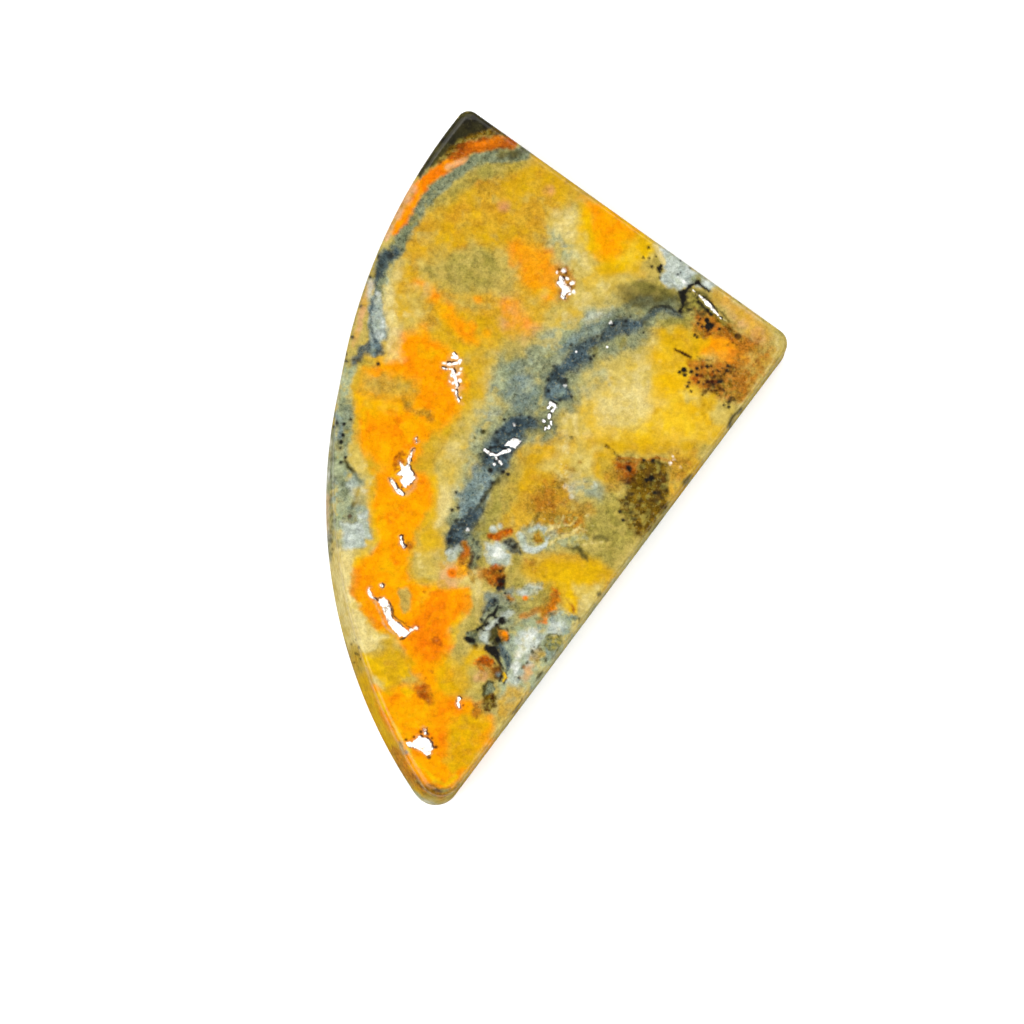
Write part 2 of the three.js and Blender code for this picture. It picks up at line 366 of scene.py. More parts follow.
UPPER_FACE = (
    stroke(GOLD, 4, 5, 0.6, 444, 208, 462, 196, 486, 186),
    patch(MUSTARD, 6, 0.45, 468, 176, 500, 174, 502, 188, 476, 194),
    spots(ROSE, 4, 0.55, 549, 190, 5, 504, 205, 6),
    spots(MUSTARD, 2.5, 0.5, 547, 189, 3, 553, 180, 2, 566, 182, 2, 570, 192, 2),
    patch(ORANGE, 8, 0.75, 506, 240, 552, 250, 560, 268, 556, 300, 540, 304, 512, 264),
    patch(SAGE, 5, 0.6, 548, 226, 556, 230, 574, 254, 566, 262, 550, 244),
    spots(CREAM, 1.6, 0.6, 556, 236, 2, 562, 244, 2.4, 568, 252, 2, 572, 258, 1.6, 552, 230, 1.6, 564, 230,
        2, 574, 240, 2, 550, 246, 1.6),
    patch(YELLOW, 5, 1, 578, 202, 612, 204, 650, 236, 656, 250, 638, 268, 600, 276, 588, 250),
    patch(ORANGE, 8, 1, 586, 202, 610, 206, 630, 228, 624, 254, 602, 262, 592, 234),
    patch(GOLD, 5, 0.6, 596, 268, 640, 262, 644, 272, 606, 280),
    patch(GOLD, 9, 0.85, 446, 318, 474, 312, 500, 316, 524, 336, 484, 354, 496, 370, 470, 410, 460, 400,
        462, 360, 444, 346, 436, 330),
    patch(PEACH, 8, 0.5, 496, 300, 520, 296, 538, 328, 524, 340, 504, 332),
    patch(ORANGE, 7, 0.65, 502, 302, 522, 302, 532, 322, 524, 334, 506, 326),
    spots(ORANGE, 3, 0.6, 478, 300, 4, 472, 326, 5, 486, 334, 5),
    spots(MUSTARD, 4, 0.65, 430, 321, 4, 447, 334, 6, 456, 340, 5),
    taper(ORANGE, 5, 0.85, 420, 286, 6, 444, 308, 6, 464, 332, 6, 474, 340, 4),
    stroke(KHAKI, 5, 5, 0.7, 446, 298, 466, 304, 486, 306),
    stroke(CREAM, 4, 5, 0.6, 402, 262, 392, 284, 386, 304),
    patch(STRAW, 6, 0.75, 396, 294, 414, 290, 428, 282, 416, 328, 398, 332),
    patch(STRAW, 7, 0.5, 524, 296, 544, 294, 544, 312, 526, 312),
)
DARK_POINT = (
    stroke(OLIVE, 7, 5, 0.6, 440, 202, 462, 184, 480, 174, 520, 162),
    spots(OLIVE, 4, 0.8, 484, 172, 6),
    stroke(MOSS, 7, 2.5, 1, 526, 151, 505, 155, 480, 158, 462, 168, 436, 189, 424, 201, 413, 216, 398, 246),
    stroke(BRONZE, 3.5, 2, 0.75, 500, 156, 525, 150),
    sprinkle(BRONZE, 1.5, 0.6, 41, 40, 1, 2.2, 520, 148, 524, 156, 480, 166, 440, 194, 416, 226, 408, 222,
        430, 190, 462, 160, 490, 150),
    taper(EMBER, 2.2, 1, 464, 157, 3, 450, 164, 6.5, 427, 180, 6.5, 417, 191, 6.5, 409, 204, 6.5, 402, 218,
        6.5, 395, 232, 4),
    stroke(PEACH, 2.5, 2, 0.8, 466, 157, 448, 169),
    taper(RUST, 2, 1, 511, 142, 6.5, 492, 142, 6.5, 476, 145, 6.5, 462, 150, 6.5, 451, 157, 3),
    sprinkle(MAROON, 1.4, 0.6, 42, 22, 1, 2, 452, 150, 480, 138, 512, 138, 510, 148, 470, 152),
    patch(BRONZE, 1.8, 1, 462, 110, 476, 110, 486, 116, 502, 128, 508, 136, 490, 134, 474, 137, 460, 142,
        428, 168, 420, 179, 414, 176, 428, 152, 446, 128),
    patch(INK, 3, 0.55, 458, 118, 480, 116, 500, 130, 474, 135, 452, 146, 424, 172, 420, 172),
    sprinkle(INK, 2, 0.7, 43, 34, 1.5, 3.4, 462, 116, 480, 116, 500, 132, 470, 134, 440, 154, 420, 176, 424,
        162, 446, 132),
    spots(INK, 2, 0.75, 487, 127, 4, 496, 133, 3),
    # Painted highlight: a pale peach line along the rounded edge of the upper left side.
    stroke(PEACH, 2.6, 2.2, 0.9, 412, 184, 393, 221, 386, 238),
    stroke(UMBER, 2.6, 2.4, 0.9, 440, 162, 452, 148, 466, 139, 482, 133, 500, 131),
    patch(EMBER, 3, 0.6, 462, 147, 482, 140, 504, 136, 502, 144, 480, 149),
)
ORANGE_FIELD = (
    patch(GOLD, 8, 0.8, 352, 366, 400, 336, 440, 330, 468, 352, 474, 384, 462, 424, 440, 446, 432, 470, 440,
        500, 436, 524, 410, 540, 380, 520, 356, 460, 350, 410),
    patch(ORANGE, 8, 1, 366, 372, 388, 352, 398, 332, 420, 326, 460, 352, 464, 376, 458, 412, 422, 440, 418,
        460, 380, 470, 362, 444, 356, 410),
    patch(ORANGE, 5, 1, 372, 470, 400, 462, 424, 478, 434, 494, 434, 508, 426, 522, 414, 532, 410, 580, 440,
        586, 466, 588, 466, 620, 450, 632, 448, 655, 460, 690, 430, 700, 406, 664, 396, 640, 380, 634, 364,
        616, 352, 596, 354, 574, 360, 560, 372, 550, 376, 540, 370, 505, 374, 486),
    stroke(YELLOW, 3, 4, 0.7, 372, 476, 370, 500, 376, 540, 354, 566),
    stroke(GOLD, 4, 5, 0.7, 350, 572, 348, 592, 370, 628, 388, 640),
    patch(ORANGE, 6, 1, 368, 690, 400, 686, 440, 690, 470, 700, 478, 712, 494, 724, 490, 744, 455, 790, 440,
        800, 424, 790),
    patch(YELLOW, 6, 0.75, 356, 396, 392, 400, 404, 406, 384, 418, 358, 418),
    stroke(OLIVE, 3.5, 4, 0.6, 352, 366, 362, 362, 374, 366),
    stroke(OCHRE, 4, 4, 0.7, 384, 374, 404, 382, 412, 394, 410, 404),
    taper(MUSTARD, 3, 0.8, 403, 398, 2.5, 406, 406, 3.6, 416, 412, 3.6, 427, 414, 3.6, 432, 420, 3),
    patch(EMBER, 5, 0.6, 418, 478, 430, 482, 432, 498, 420, 494),
    stroke(YELLOW, 3, 4, 0.7, 434, 478, 437, 496, 434, 514, 424, 526),
    patch(GOLD, 6, 0.8, 414, 534, 432, 524, 444, 530, 446, 552, 436, 560, 414, 556),
    patch(STRAW, 7, 0.85, 414, 552, 440, 548, 448, 566, 440, 582, 418, 580),
    patch(YELLOW, 5, 0.5, 418, 540, 432, 532, 436, 546, 424, 556),
    patch(CREAM, 5, 0.75, 440, 486, 450, 480, 452, 500, 446, 524, 438, 526),
    patch(EMBER, 7, 0.5, 352, 572, 372, 578, 388, 628, 374, 628, 350, 590),
    patch(EMBER, 6, 0.9, 434, 586, 446, 584, 450, 604, 450, 640, 446, 660, 424, 668, 410, 640, 400, 630,
        408, 620, 426, 606),
    stroke(YELLOW, 3, 4, 0.5, 424, 600, 432, 590, 440, 584, 460, 584),
    stroke(EMBER, 3.2, 3, 0.6, 462, 588, 460, 604, 455, 620),
    stroke(YELLOW, 3, 3, 0.6, 468, 590, 467, 612, 456, 626, 452, 640),
    stroke(GOLD, 3, 4, 0.7, 412, 550, 410, 566, 414, 580, 436, 584, 466, 586),
    patch(GOLD, 6, 0.95, 364, 652, 382, 655, 398, 646, 408, 655, 414, 668, 410, 684, 394, 690, 384, 690,
        372, 684, 362, 666),
    stroke(YELLOW, 3.4, 2.5, 1, 361, 658, 370, 668, 388, 684),
    patch(STRAW, 3, 0.8, 370, 676, 386, 682, 384, 690, 374, 688),
    stroke(PEACH, 1.6, 2, 0.7, 366, 667, 374, 688),
    patch(GOLD, 8, 0.8, 440, 655, 468, 660, 476, 690, 460, 696, 440, 690, 430, 672),
    patch(EMBER, 8, 0.7, 440, 700, 464, 698, 462, 712, 436, 745, 424, 730, 430, 712),
    patch(RUST, 3, 0.95, 414, 688, 424, 680, 428, 685, 430, 693, 435, 702, 431, 706, 418, 694),
    spots(RUST, 2.5, 0.9, 409, 546, 4),
    # Painted glare: white dots in the small pit on the orange band.
    spots(CHALK_AND_GLARE, 1, 0.9, 401.5, 541, 1.6, 403, 545, 1.4),
    patch(PEACH, 3, 0.5, 441, 362, 452, 352, 464, 356, 460, 386, 462, 404, 454, 398, 450, 378),
    # Painted glints: white grains strewn over the sugary patch.
    sprinkle(CHALK_AND_GLARE, 0.9, 0.9, 92, 70, 0.6, 1.5, 441, 362, 452, 353, 463, 357, 460, 386, 462, 404, 455, 398,
        450, 378),
    patch(GOLD, 6, 0.85, 447, 726, 458, 712, 478, 712, 490, 722, 470, 764, 452, 780, 446, 760),
    patch(OCHRE, 6, 0.85, 360, 376, 384, 374, 414, 380, 416, 392, 398, 397, 364, 393),
    patch(KHAKI, 6, 0.5, 362, 380, 384, 378, 408, 384, 396, 392, 364, 390),
    patch(ORANGE, 4, 0.9, 452, 588, 470, 586, 474, 600, 470, 612, 452, 608),
    taper(YELLOW, 1.6, 0.9, 362, 656, 1.5, 372, 664, 4, 384, 678, 3.4, 388, 684, 1.5),
    patch(YELLOW, 1.5, 0.9, 400, 674, 407, 668, 412, 676, 404, 680),
    patch(YELLOW, 2, 0.8, 402, 690, 408, 686, 414, 692, 408, 699),
    patch(KHAKI, 2, 0.9, 400, 590, 408, 588, 412, 596, 411, 608, 404, 612, 398, 604),
    spots(RUST, 1.4, 0.8, 436, 640, 4, 440, 644, 2.4, 424, 592, 1.4, 406, 624, 1.2, 432, 672, 1.2),
)
LEFT_RIM = (
    stroke(PEACH, 3, 2.5, 0.8, 370, 285, 365, 300, 361, 322, 354, 342),
    stroke(CALCITE, 3, 2, 0.7, 372, 280, 368, 292, 370, 300),
    patch(SAGE, 4, 0.9, 384, 262, 398, 256, 392, 276, 388, 300, 382, 306),
    stroke(CREAM, 5, 3.5, 0.9, 389, 290, 389, 312, 391, 328),
    patch(PEACH, 6, 0.7, 384, 330, 404, 326, 404, 350, 386, 360),
    patch(CREAM, 5, 0.6, 384, 326, 400, 326, 400, 360, 384, 362),
    patch(MOSS, 3, 1, 392, 240, 410, 238, 408, 250, 398, 258, 388, 272, 380, 302, 371, 300, 374, 284, 372,
        272, 380, 256),
    patch(SLATE, 3, 0.85, 384, 250, 398, 246, 400, 254, 390, 262, 384, 276, 376, 284, 371, 276, 376, 262),
    patch(SLATE, 3, 0.9, 376, 340, 382, 346, 380, 357, 370, 357, 364, 354, 356, 364, 350, 368, 347, 362,
        362, 346),
    patch(MIST, 3, 0.9, 372, 300, 380, 304, 386, 318, 387, 336, 382, 344, 374, 340, 368, 330),
    sprinkle(CALCITE, 1.6, 0.8, 90, 40, 1, 2.4, 370, 296, 382, 300, 388, 340, 374, 342, 368, 320),
    sprinkle(INK, 1.2, 0.6, 62, 24, 0.8, 1.8, 386, 250, 398, 248, 380, 282, 382, 356, 350, 366, 366, 344,
        372, 300, 374, 270),
    spots(INK, 2, 0.8, 390, 256, 3.4, 372, 341, 2.4, 375, 352, 2.6, 358, 360, 3),
    spots(CHALK_AND_GLARE, 1, 0.9, 382.5, 322.5, 1.1),
    spots(INK, 1.1, 1, 378, 364, 2, 378.5, 257, 1.6, 370, 277, 1.6, 352.5, 337, 2, 346, 361, 2, 361, 306,
        1.7, 346.5, 354, 1.3),
    patch(SAGE, 2.5, 1, 343, 366, 356, 366, 351, 384, 350, 410, 353, 452, 336, 500, 328, 470, 336, 410),
    patch(MOSS, 3, 0.7, 338, 398, 351, 400, 353, 428, 344, 456, 334, 450),
    stroke(MIST, 2.6, 2, 0.8, 336, 416, 342, 424, 340, 436),
    spots(INK, 0.9, 1, 350.5, 419.5, 1.7, 344, 424, 2.3, 337, 423, 2.4, 334, 427, 1.8, 343, 435, 2, 341,
        442, 2.3, 340.5, 448, 1.8, 345.5, 457.5, 2, 341, 462.5, 2.2),
    patch(STRAW, 3, 1, 350, 442, 360, 444, 366, 470, 376, 476, 372, 486, 360, 478, 352, 464),
    stroke(BRONZE, 2.2, 1.6, 1, 345, 461, 355, 472, 360, 481),
    patch(CALCITE, 2.5, 0.9, 350, 476, 360, 484, 366, 492, 354, 496, 346, 488),
    patch(MOSS, 2.5, 0.75, 337, 474, 347, 476, 350, 496, 338, 504),
    stroke(BRONZE, 1.8, 1.6, 0.85, 358, 488, 356, 500, 351, 512, 350, 520, 354, 531),
    patch(CALCITE, 3, 1, 342, 522, 354, 514, 368, 512, 372, 536, 364, 545, 342, 548),
    patch(MOSS, 2.5, 0.85, 344, 510, 358, 510, 359, 522, 344, 524),
    spots(MAROON, 1.3, 0.8, 350, 516, 2.2),
    patch(CREAM, 3, 1, 338, 552, 352, 556, 350, 588, 366, 622, 388, 638, 372, 650, 352, 652, 338, 600),
    stroke(MIST, 5, 3, 0.8, 376, 326, 375, 342),
    stroke(CALCITE, 2.4, 2.4, 0.7, 374, 322, 373, 340),
    patch(STRAW, 4, 0.6, 352, 490, 366, 488, 368, 504, 356, 508),
    patch(SAGE, 4, 0.5, 350, 470, 364, 470, 366, 486, 352, 488),
    stroke(MIST, 3, 3, 0.7, 376, 344, 372, 354),
    taper(SLATE, 1.8, 0.7, 376, 280, 2.4, 374, 298, 1.2, 371.5, 320, 1, 374, 338, 1.8, 381, 352, 3.2),
    taper(CALCITE, 2.4, 0.8, 378, 294, 3, 380, 308, 3.4, 381, 322, 4.4, 379, 338, 3),
    stroke(CREAM, 2, 2.4, 0.7, 388, 304, 390, 322, 388, 348),
)
DARK_VEIN = (
    patch(MOSS, 7, 0.9, 496, 364, 520, 350, 546, 352, 556, 338, 600, 312, 640, 304, 652, 322, 648, 340, 592,
        366, 578, 384, 576, 404, 544, 438, 520, 444, 474, 544, 454, 560, 444, 550, 446, 520, 466, 490, 476,
        464, 480, 440, 498, 414),
    patch(SAGE, 5, 0.7, 546, 330, 572, 318, 590, 316, 560, 350, 544, 350),
    patch(MIST, 10, 0.6, 512, 368, 532, 366, 546, 380, 544, 402, 528, 412, 510, 410, 506, 390),
    patch(MIST, 6, 0.6, 556, 346, 580, 330, 602, 320, 600, 334, 572, 346, 556, 362),
    stroke(SAGE, 1.6, 2, 0.7, 529, 360, 538, 372, 540, 386, 539, 404),
    patch(MIST, 4, 0.9, 474, 462, 486, 462, 496, 476, 492, 490, 474, 514, 456, 520, 460, 494),
    patch(SLATE, 4, 0.9, 600, 333, 608, 324, 618, 319, 634, 320, 646, 317, 648, 323, 638, 329, 620, 332,
        600, 341),
    patch(SLATE, 4, 0.95, 548, 374, 556, 365, 566, 359, 572, 348, 579, 340, 590, 335, 600, 338, 600, 345,
        592, 352, 592, 361, 580, 366, 570, 374, 568, 384, 573, 394, 566, 403, 556, 406, 546, 398),
    patch(SLATE, 4, 0.95, 482, 456, 486, 446, 501, 423, 510, 415, 522, 411, 534, 415, 545, 424, 553, 424,
        550, 434, 538, 430, 526, 432, 522, 442, 500, 474, 490, 474, 482, 466),
    patch(SLATE, 3.2, 0.95, 480, 504, 478, 518, 470, 528, 460, 537, 452, 549, 446, 553, 444, 540, 450, 528,
        456, 520),
    patch(MIST, 1.8, 0.9, 551, 388, 558, 384, 566, 387, 567, 395, 560, 399, 552, 396),
    sprinkle(INK, 1.5, 0.75, 75, 46, 1, 2.4, 546, 376, 576, 344, 648, 318, 644, 328, 604, 340, 586, 362,
        572, 378, 572, 396, 556, 406, 546, 398),
    sprinkle(INK, 1.5, 0.75, 76, 46, 1, 2.4, 482, 458, 498, 428, 522, 411, 548, 426, 524, 430, 514, 454,
        496, 474, 484, 468),
    sprinkle(INK, 1.6, 0.75, 77, 26, 1, 2.6, 480, 504, 474, 520, 452, 550, 444, 544, 454, 522),
    spots(INK, 1.1, 1, 591, 358.5, 1.9, 594, 356, 1.7, 567, 380, 2, 571.5, 397, 1.8, 548, 380, 1.9, 548.5,
        391, 1.9, 504, 419.5, 1.8, 586, 342, 1.4, 613, 325, 1.4, 631, 316, 1.4, 626, 321, 1.6, 635, 323,
        1.5, 571, 345, 1.3, 597, 336, 1.3, 554, 366, 1.4, 560, 400, 1.4, 520, 415, 1.5, 529, 417, 1.3, 497,
        432, 1.4),
    spots(INK, 1.1, 1, 490, 470, 2.8, 508, 474.5, 1.8, 503, 472, 2, 492, 483, 1.8, 491, 488, 1.6, 495, 460,
        1.6, 484, 470, 1.2, 456.5, 492.5, 1.8, 452, 510, 1.8, 458, 508, 1.6, 483, 431.5, 2.2),
    stroke(BRONZE, 2.6, 2.2, 0.85, 498, 479, 475, 511),
    sprinkle(INK, 1.2, 0.8, 78, 24, 0.9, 1.9, 494, 480, 488, 496, 476, 514, 474, 508, 486, 488),
    patch(OLIVE, 3, 0.8, 498, 484, 504, 488, 500, 520, 488, 544, 476, 540, 484, 516),
    patch(MOSS, 3, 0.8, 456, 540, 468, 532, 484, 534, 476, 550, 458, 548),
    # Small white dots on the dark vein: white grains, painted as bright glints.
    spots(CHALK_AND_GLARE, 0.9, 1, 610.5, 322.5, 1.1, 576, 352, 0.8, 565, 386, 0.8, 514, 425, 0.9, 467.5, 530, 1.5,
        607, 347, 0.7, 494, 464, 0.9, 500, 462, 0.8),
    patch(KHAKI, 6, 0.8, 504, 340, 524, 338, 524, 354, 506, 362),
    patch(SAGE, 6, 0.7, 490, 372, 506, 370, 506, 394, 490, 398),
    patch(SAGE, 7, 0.6, 572, 376, 590, 370, 608, 374, 606, 390, 580, 398),
    stroke(CALCITE, 3, 4, 0.5, 586, 320, 598, 313, 610, 311),
    stroke(SLATE, 2.6, 3, 0.7, 480, 512, 472, 528, 463, 540),
    taper(SLATE, 2, 0.9, 461, 534, 4.4, 456, 545, 3, 453, 552, 1),
    patch(MOSS, 5, 0.8, 540, 424, 556, 422, 558, 440, 542, 442),
)
SQUARE_CORNER = (
    patch(CALCITE, 2, 1, 655, 243, 668, 250, 694, 268, 716, 285, 712, 292, 702, 286, 694, 284, 684, 288,
        678, 293, 668, 288, 660, 280, 664, 270, 661, 256),
    stroke(CREAM, 1.8, 1.6, 0.9, 655, 244, 662, 257, 664, 263),
    stroke(CHALK_AND_GLARE, 0.8, 1.2, 0.5, 677, 278, 685, 284),
    patch(MOSS, 4, 0.9, 634, 294, 655, 290, 684, 298, 690, 314, 680, 326, 650, 328, 630, 312),
    patch(OLIVE, 3, 0.9, 622, 282, 640, 280, 660, 285, 681, 293, 683, 302, 664, 299, 640, 293),
    patch(BRONZE, 6, 0.6, 616, 286, 640, 280, 662, 287, 683, 296, 686, 312, 664, 308, 642, 312, 622, 304),
    patch(OLIVE, 4, 0.85, 656, 316, 692, 314, 694, 326, 668, 332, 654, 326),
    taper(SLATE, 3, 0.75, 640, 322, 4, 661, 309, 3, 672, 312, 3, 682, 315, 2),
    taper(INK, 1.2, 0.85, 650, 312, 1, 656, 307, 1.3, 662, 306, 1.1, 669, 308, 1.3, 675, 312, 1.1, 684, 312,
        1),
    patch(OLIVE, 2.5, 0.9, 688, 290, 698, 293, 708, 304, 706, 312, 694, 316, 686, 306),
    stroke(BRONZE, 2.4, 2, 0.8, 696, 289, 704, 294, 711, 303),
    patch(MOSS, 1.8, 0.95, 689, 275, 694, 272, 700, 274, 705, 281, 698, 284, 691, 280),
    taper(INK, 1, 1, 687, 288, 1.7, 683, 294, 3.8, 685, 300, 3, 684, 306, 1.6, 681, 311, 1.9),
    taper(INK, 1, 1, 688, 286, 1.7, 693, 283.5, 1.7, 698, 281, 2.2, 703, 286, 1.7, 709, 291, 1.7),
    sprinkle(YELLOW, 4, 0.5, 83, 16, 3, 6, 716, 292, 752, 314, 772, 332, 742, 330),
    sprinkle(ORANGE, 4, 0.7, 52, 16, 3, 6, 720, 296, 752, 314, 780, 336, 764, 360, 744, 340),
    # Painted highlight: a thin cream line along the rounded edge round the square corner.
    stroke(CREAM, 1, 1.4, 0.7, 722, 293, 766, 326, 777, 336, 778, 350, 764, 373, 749, 395, 738, 408),
    patch(ORANGE, 4, 0.85, 712, 330, 732, 334, 746, 342, 750, 360, 736, 372, 716, 358, 704, 348),
    patch(ORANGE, 4, 0.6, 700, 338, 722, 338, 720, 356, 700, 352),
    patch(TAN, 3, 0.95, 694, 308, 712, 308, 722, 320, 738, 332, 760, 344, 762, 358, 722, 338, 704, 338, 694,
        328),
    sprinkle(UMBER, 1.6, 0.7, 53, 40, 1, 2.4, 698, 308, 714, 312, 740, 332, 762, 350, 744, 350, 722, 336,
        702, 334),
    sprinkle(RUST, 1.6, 0.7, 54, 30, 0.9, 2, 696, 312, 716, 314, 744, 336, 742, 348, 706, 336),
    patch(TAN, 4, 0.9, 690, 360, 720, 360, 746, 366, 750, 384, 742, 404, 722, 400, 690, 384),
    sprinkle(UMBER, 1.5, 0.8, 55, 70, 0.9, 2.2, 704, 374, 722, 364, 746, 370, 746, 398, 726, 402, 710, 388),
    sprinkle(UMBER, 1.8, 0.6, 56, 30, 1, 2.2, 716, 336, 752, 348, 756, 384, 736, 372, 712, 352),
    patch(OCHRE, 4, 0.5, 750, 350, 778, 350, 764, 376, 748, 396),
    sprinkle(TAN, 1.4, 0.8, 57, 44, 0.8, 1.8, 744, 344, 780, 346, 764, 376, 742, 406, 744, 370),
    patch(STRAW, 3, 0.9, 680, 391, 698, 396, 712, 404, 738, 412, 728, 430, 712, 424, 704, 408, 684, 400),
    patch(YELLOW, 5, 0.8, 650, 372, 688, 372, 682, 390, 650, 400),
    stroke(BRONZE, 1.6, 1.4, 0.9, 742, 408, 733, 418, 730, 427),
    spots(INK, 0.9, 1, 648.5, 247, 1.6, 643, 257.5, 1.4, 649, 258, 1.2, 656, 256, 1.3, 651.5, 266.5, 1.5,
        659.5, 268.5, 3, 661, 265.5, 2, 660, 271.5, 1.8, 660, 277.5, 1.2, 677, 274.5, 1.2, 680, 273, 1.2,
        680, 260.5, 1.2, 690.5, 268, 1.4),
    taper(INK, 1.2, 1, 699, 301, 2, 703, 306, 3, 711, 312, 2),
    stroke(UMBER, 2, 1.5, 0.8, 712, 312, 720, 321, 740, 338),
    stroke(BRONZE, 1.2, 1, 0.9, 706, 297, 714, 306, 724, 316, 729, 323),
    taper(CREAM, 0.8, 0.9, 690, 288, 0.5, 697, 293, 0.5, 707, 303, 1.6, 713, 309, 1.4, 719, 316, 1, 726,
        322, 0.3),
    spots(INK, 0.9, 1, 711, 314, 2.2, 703, 313.5, 1.2, 700, 319, 1.3, 698, 323.5, 1.3, 702, 326.5, 1.7, 707,
        320, 2.8, 709, 326, 4.4, 713, 325, 2, 708, 331, 1.6, 695, 335, 1.2, 697.5, 337, 1.3, 719.5, 329.5,
        1.9, 738, 336, 3.2, 644, 332, 1.4),
    stroke(MAROON, 1, 1, 1, 674, 348.5, 681, 351, 685, 354, 691, 357),
    stroke(UMBER, 0.9, 1, 0.8, 697, 357, 704, 361, 712, 360),
    spots(INK, 0.9, 1, 756.5, 360.5, 2, 684, 370, 3.2, 680, 372.5, 2.1, 685, 375, 2.2, 691, 371.5, 2.3, 697,
        368.5, 2.1, 702.5, 367, 2.3, 707.5, 366.5, 2.1, 711.5, 366, 1.7, 713, 371, 1.7, 718, 371, 1.6, 697,
        375, 2.2, 694, 379, 1.5, 698, 382, 1.6, 701, 375.5, 1.2, 689, 382.5, 1.6, 687.5, 386.5, 1.7, 691,
        391, 1.5, 703, 384, 1.4, 708, 389, 1.2, 710.5, 391, 1.4, 716, 392.5, 1, 720, 395, 1, 702.5, 395,
        1.4, 704.5, 404.5, 1.5, 728, 366, 1.8, 727, 371, 2, 735, 372, 1.4, 734, 376, 1.4, 724, 405, 1.6,
        729, 402, 2, 729, 407, 2),
    taper(INK, 1.3, 1, 706, 381, 2.2, 713, 382, 3, 721, 381, 2.2),
    sprinkle(INK, 1, 0.85, 58, 60, 0.9, 1.8, 702, 374, 728, 364, 744, 372, 738, 404, 716, 392),
    sprinkle(BRONZE, 1.4, 0.8, 100, 50, 1, 2.2, 686, 292, 700, 294, 708, 308, 702, 318, 688, 312),
    sprinkle(RUST, 1.3, 0.7, 101, 30, 0.8, 1.8, 686, 362, 722, 362, 712, 390, 694, 384),
    sprinkle(INK, 1.4, 0.8, 103, 30, 0.8, 2, 684, 284, 700, 288, 704, 308, 690, 314),
    patch(GOLD, 4, 0.8, 700, 394, 716, 392, 716, 410, 702, 410),
    sprinkle(MAROON, 1.4, 0.8, 104, 30, 0.8, 2.2, 698, 374, 722, 374, 718, 394, 702, 394),
    patch(TAN, 7, 0.45, 736, 330, 768, 336, 776, 352, 752, 392, 738, 400, 732, 370),
    patch(PEACH, 5, 0.5, 716, 294, 756, 319, 774, 338, 764, 344, 738, 328, 716, 306),
    stroke(OCHRE, 5, 5, 0.6, 716, 298, 748, 318, 768, 336),
    sprinkle(TAN, 1.2, 0.7, 105, 70, 0.8, 2, 736, 330, 770, 338, 774, 352, 748, 396, 734, 390),
)
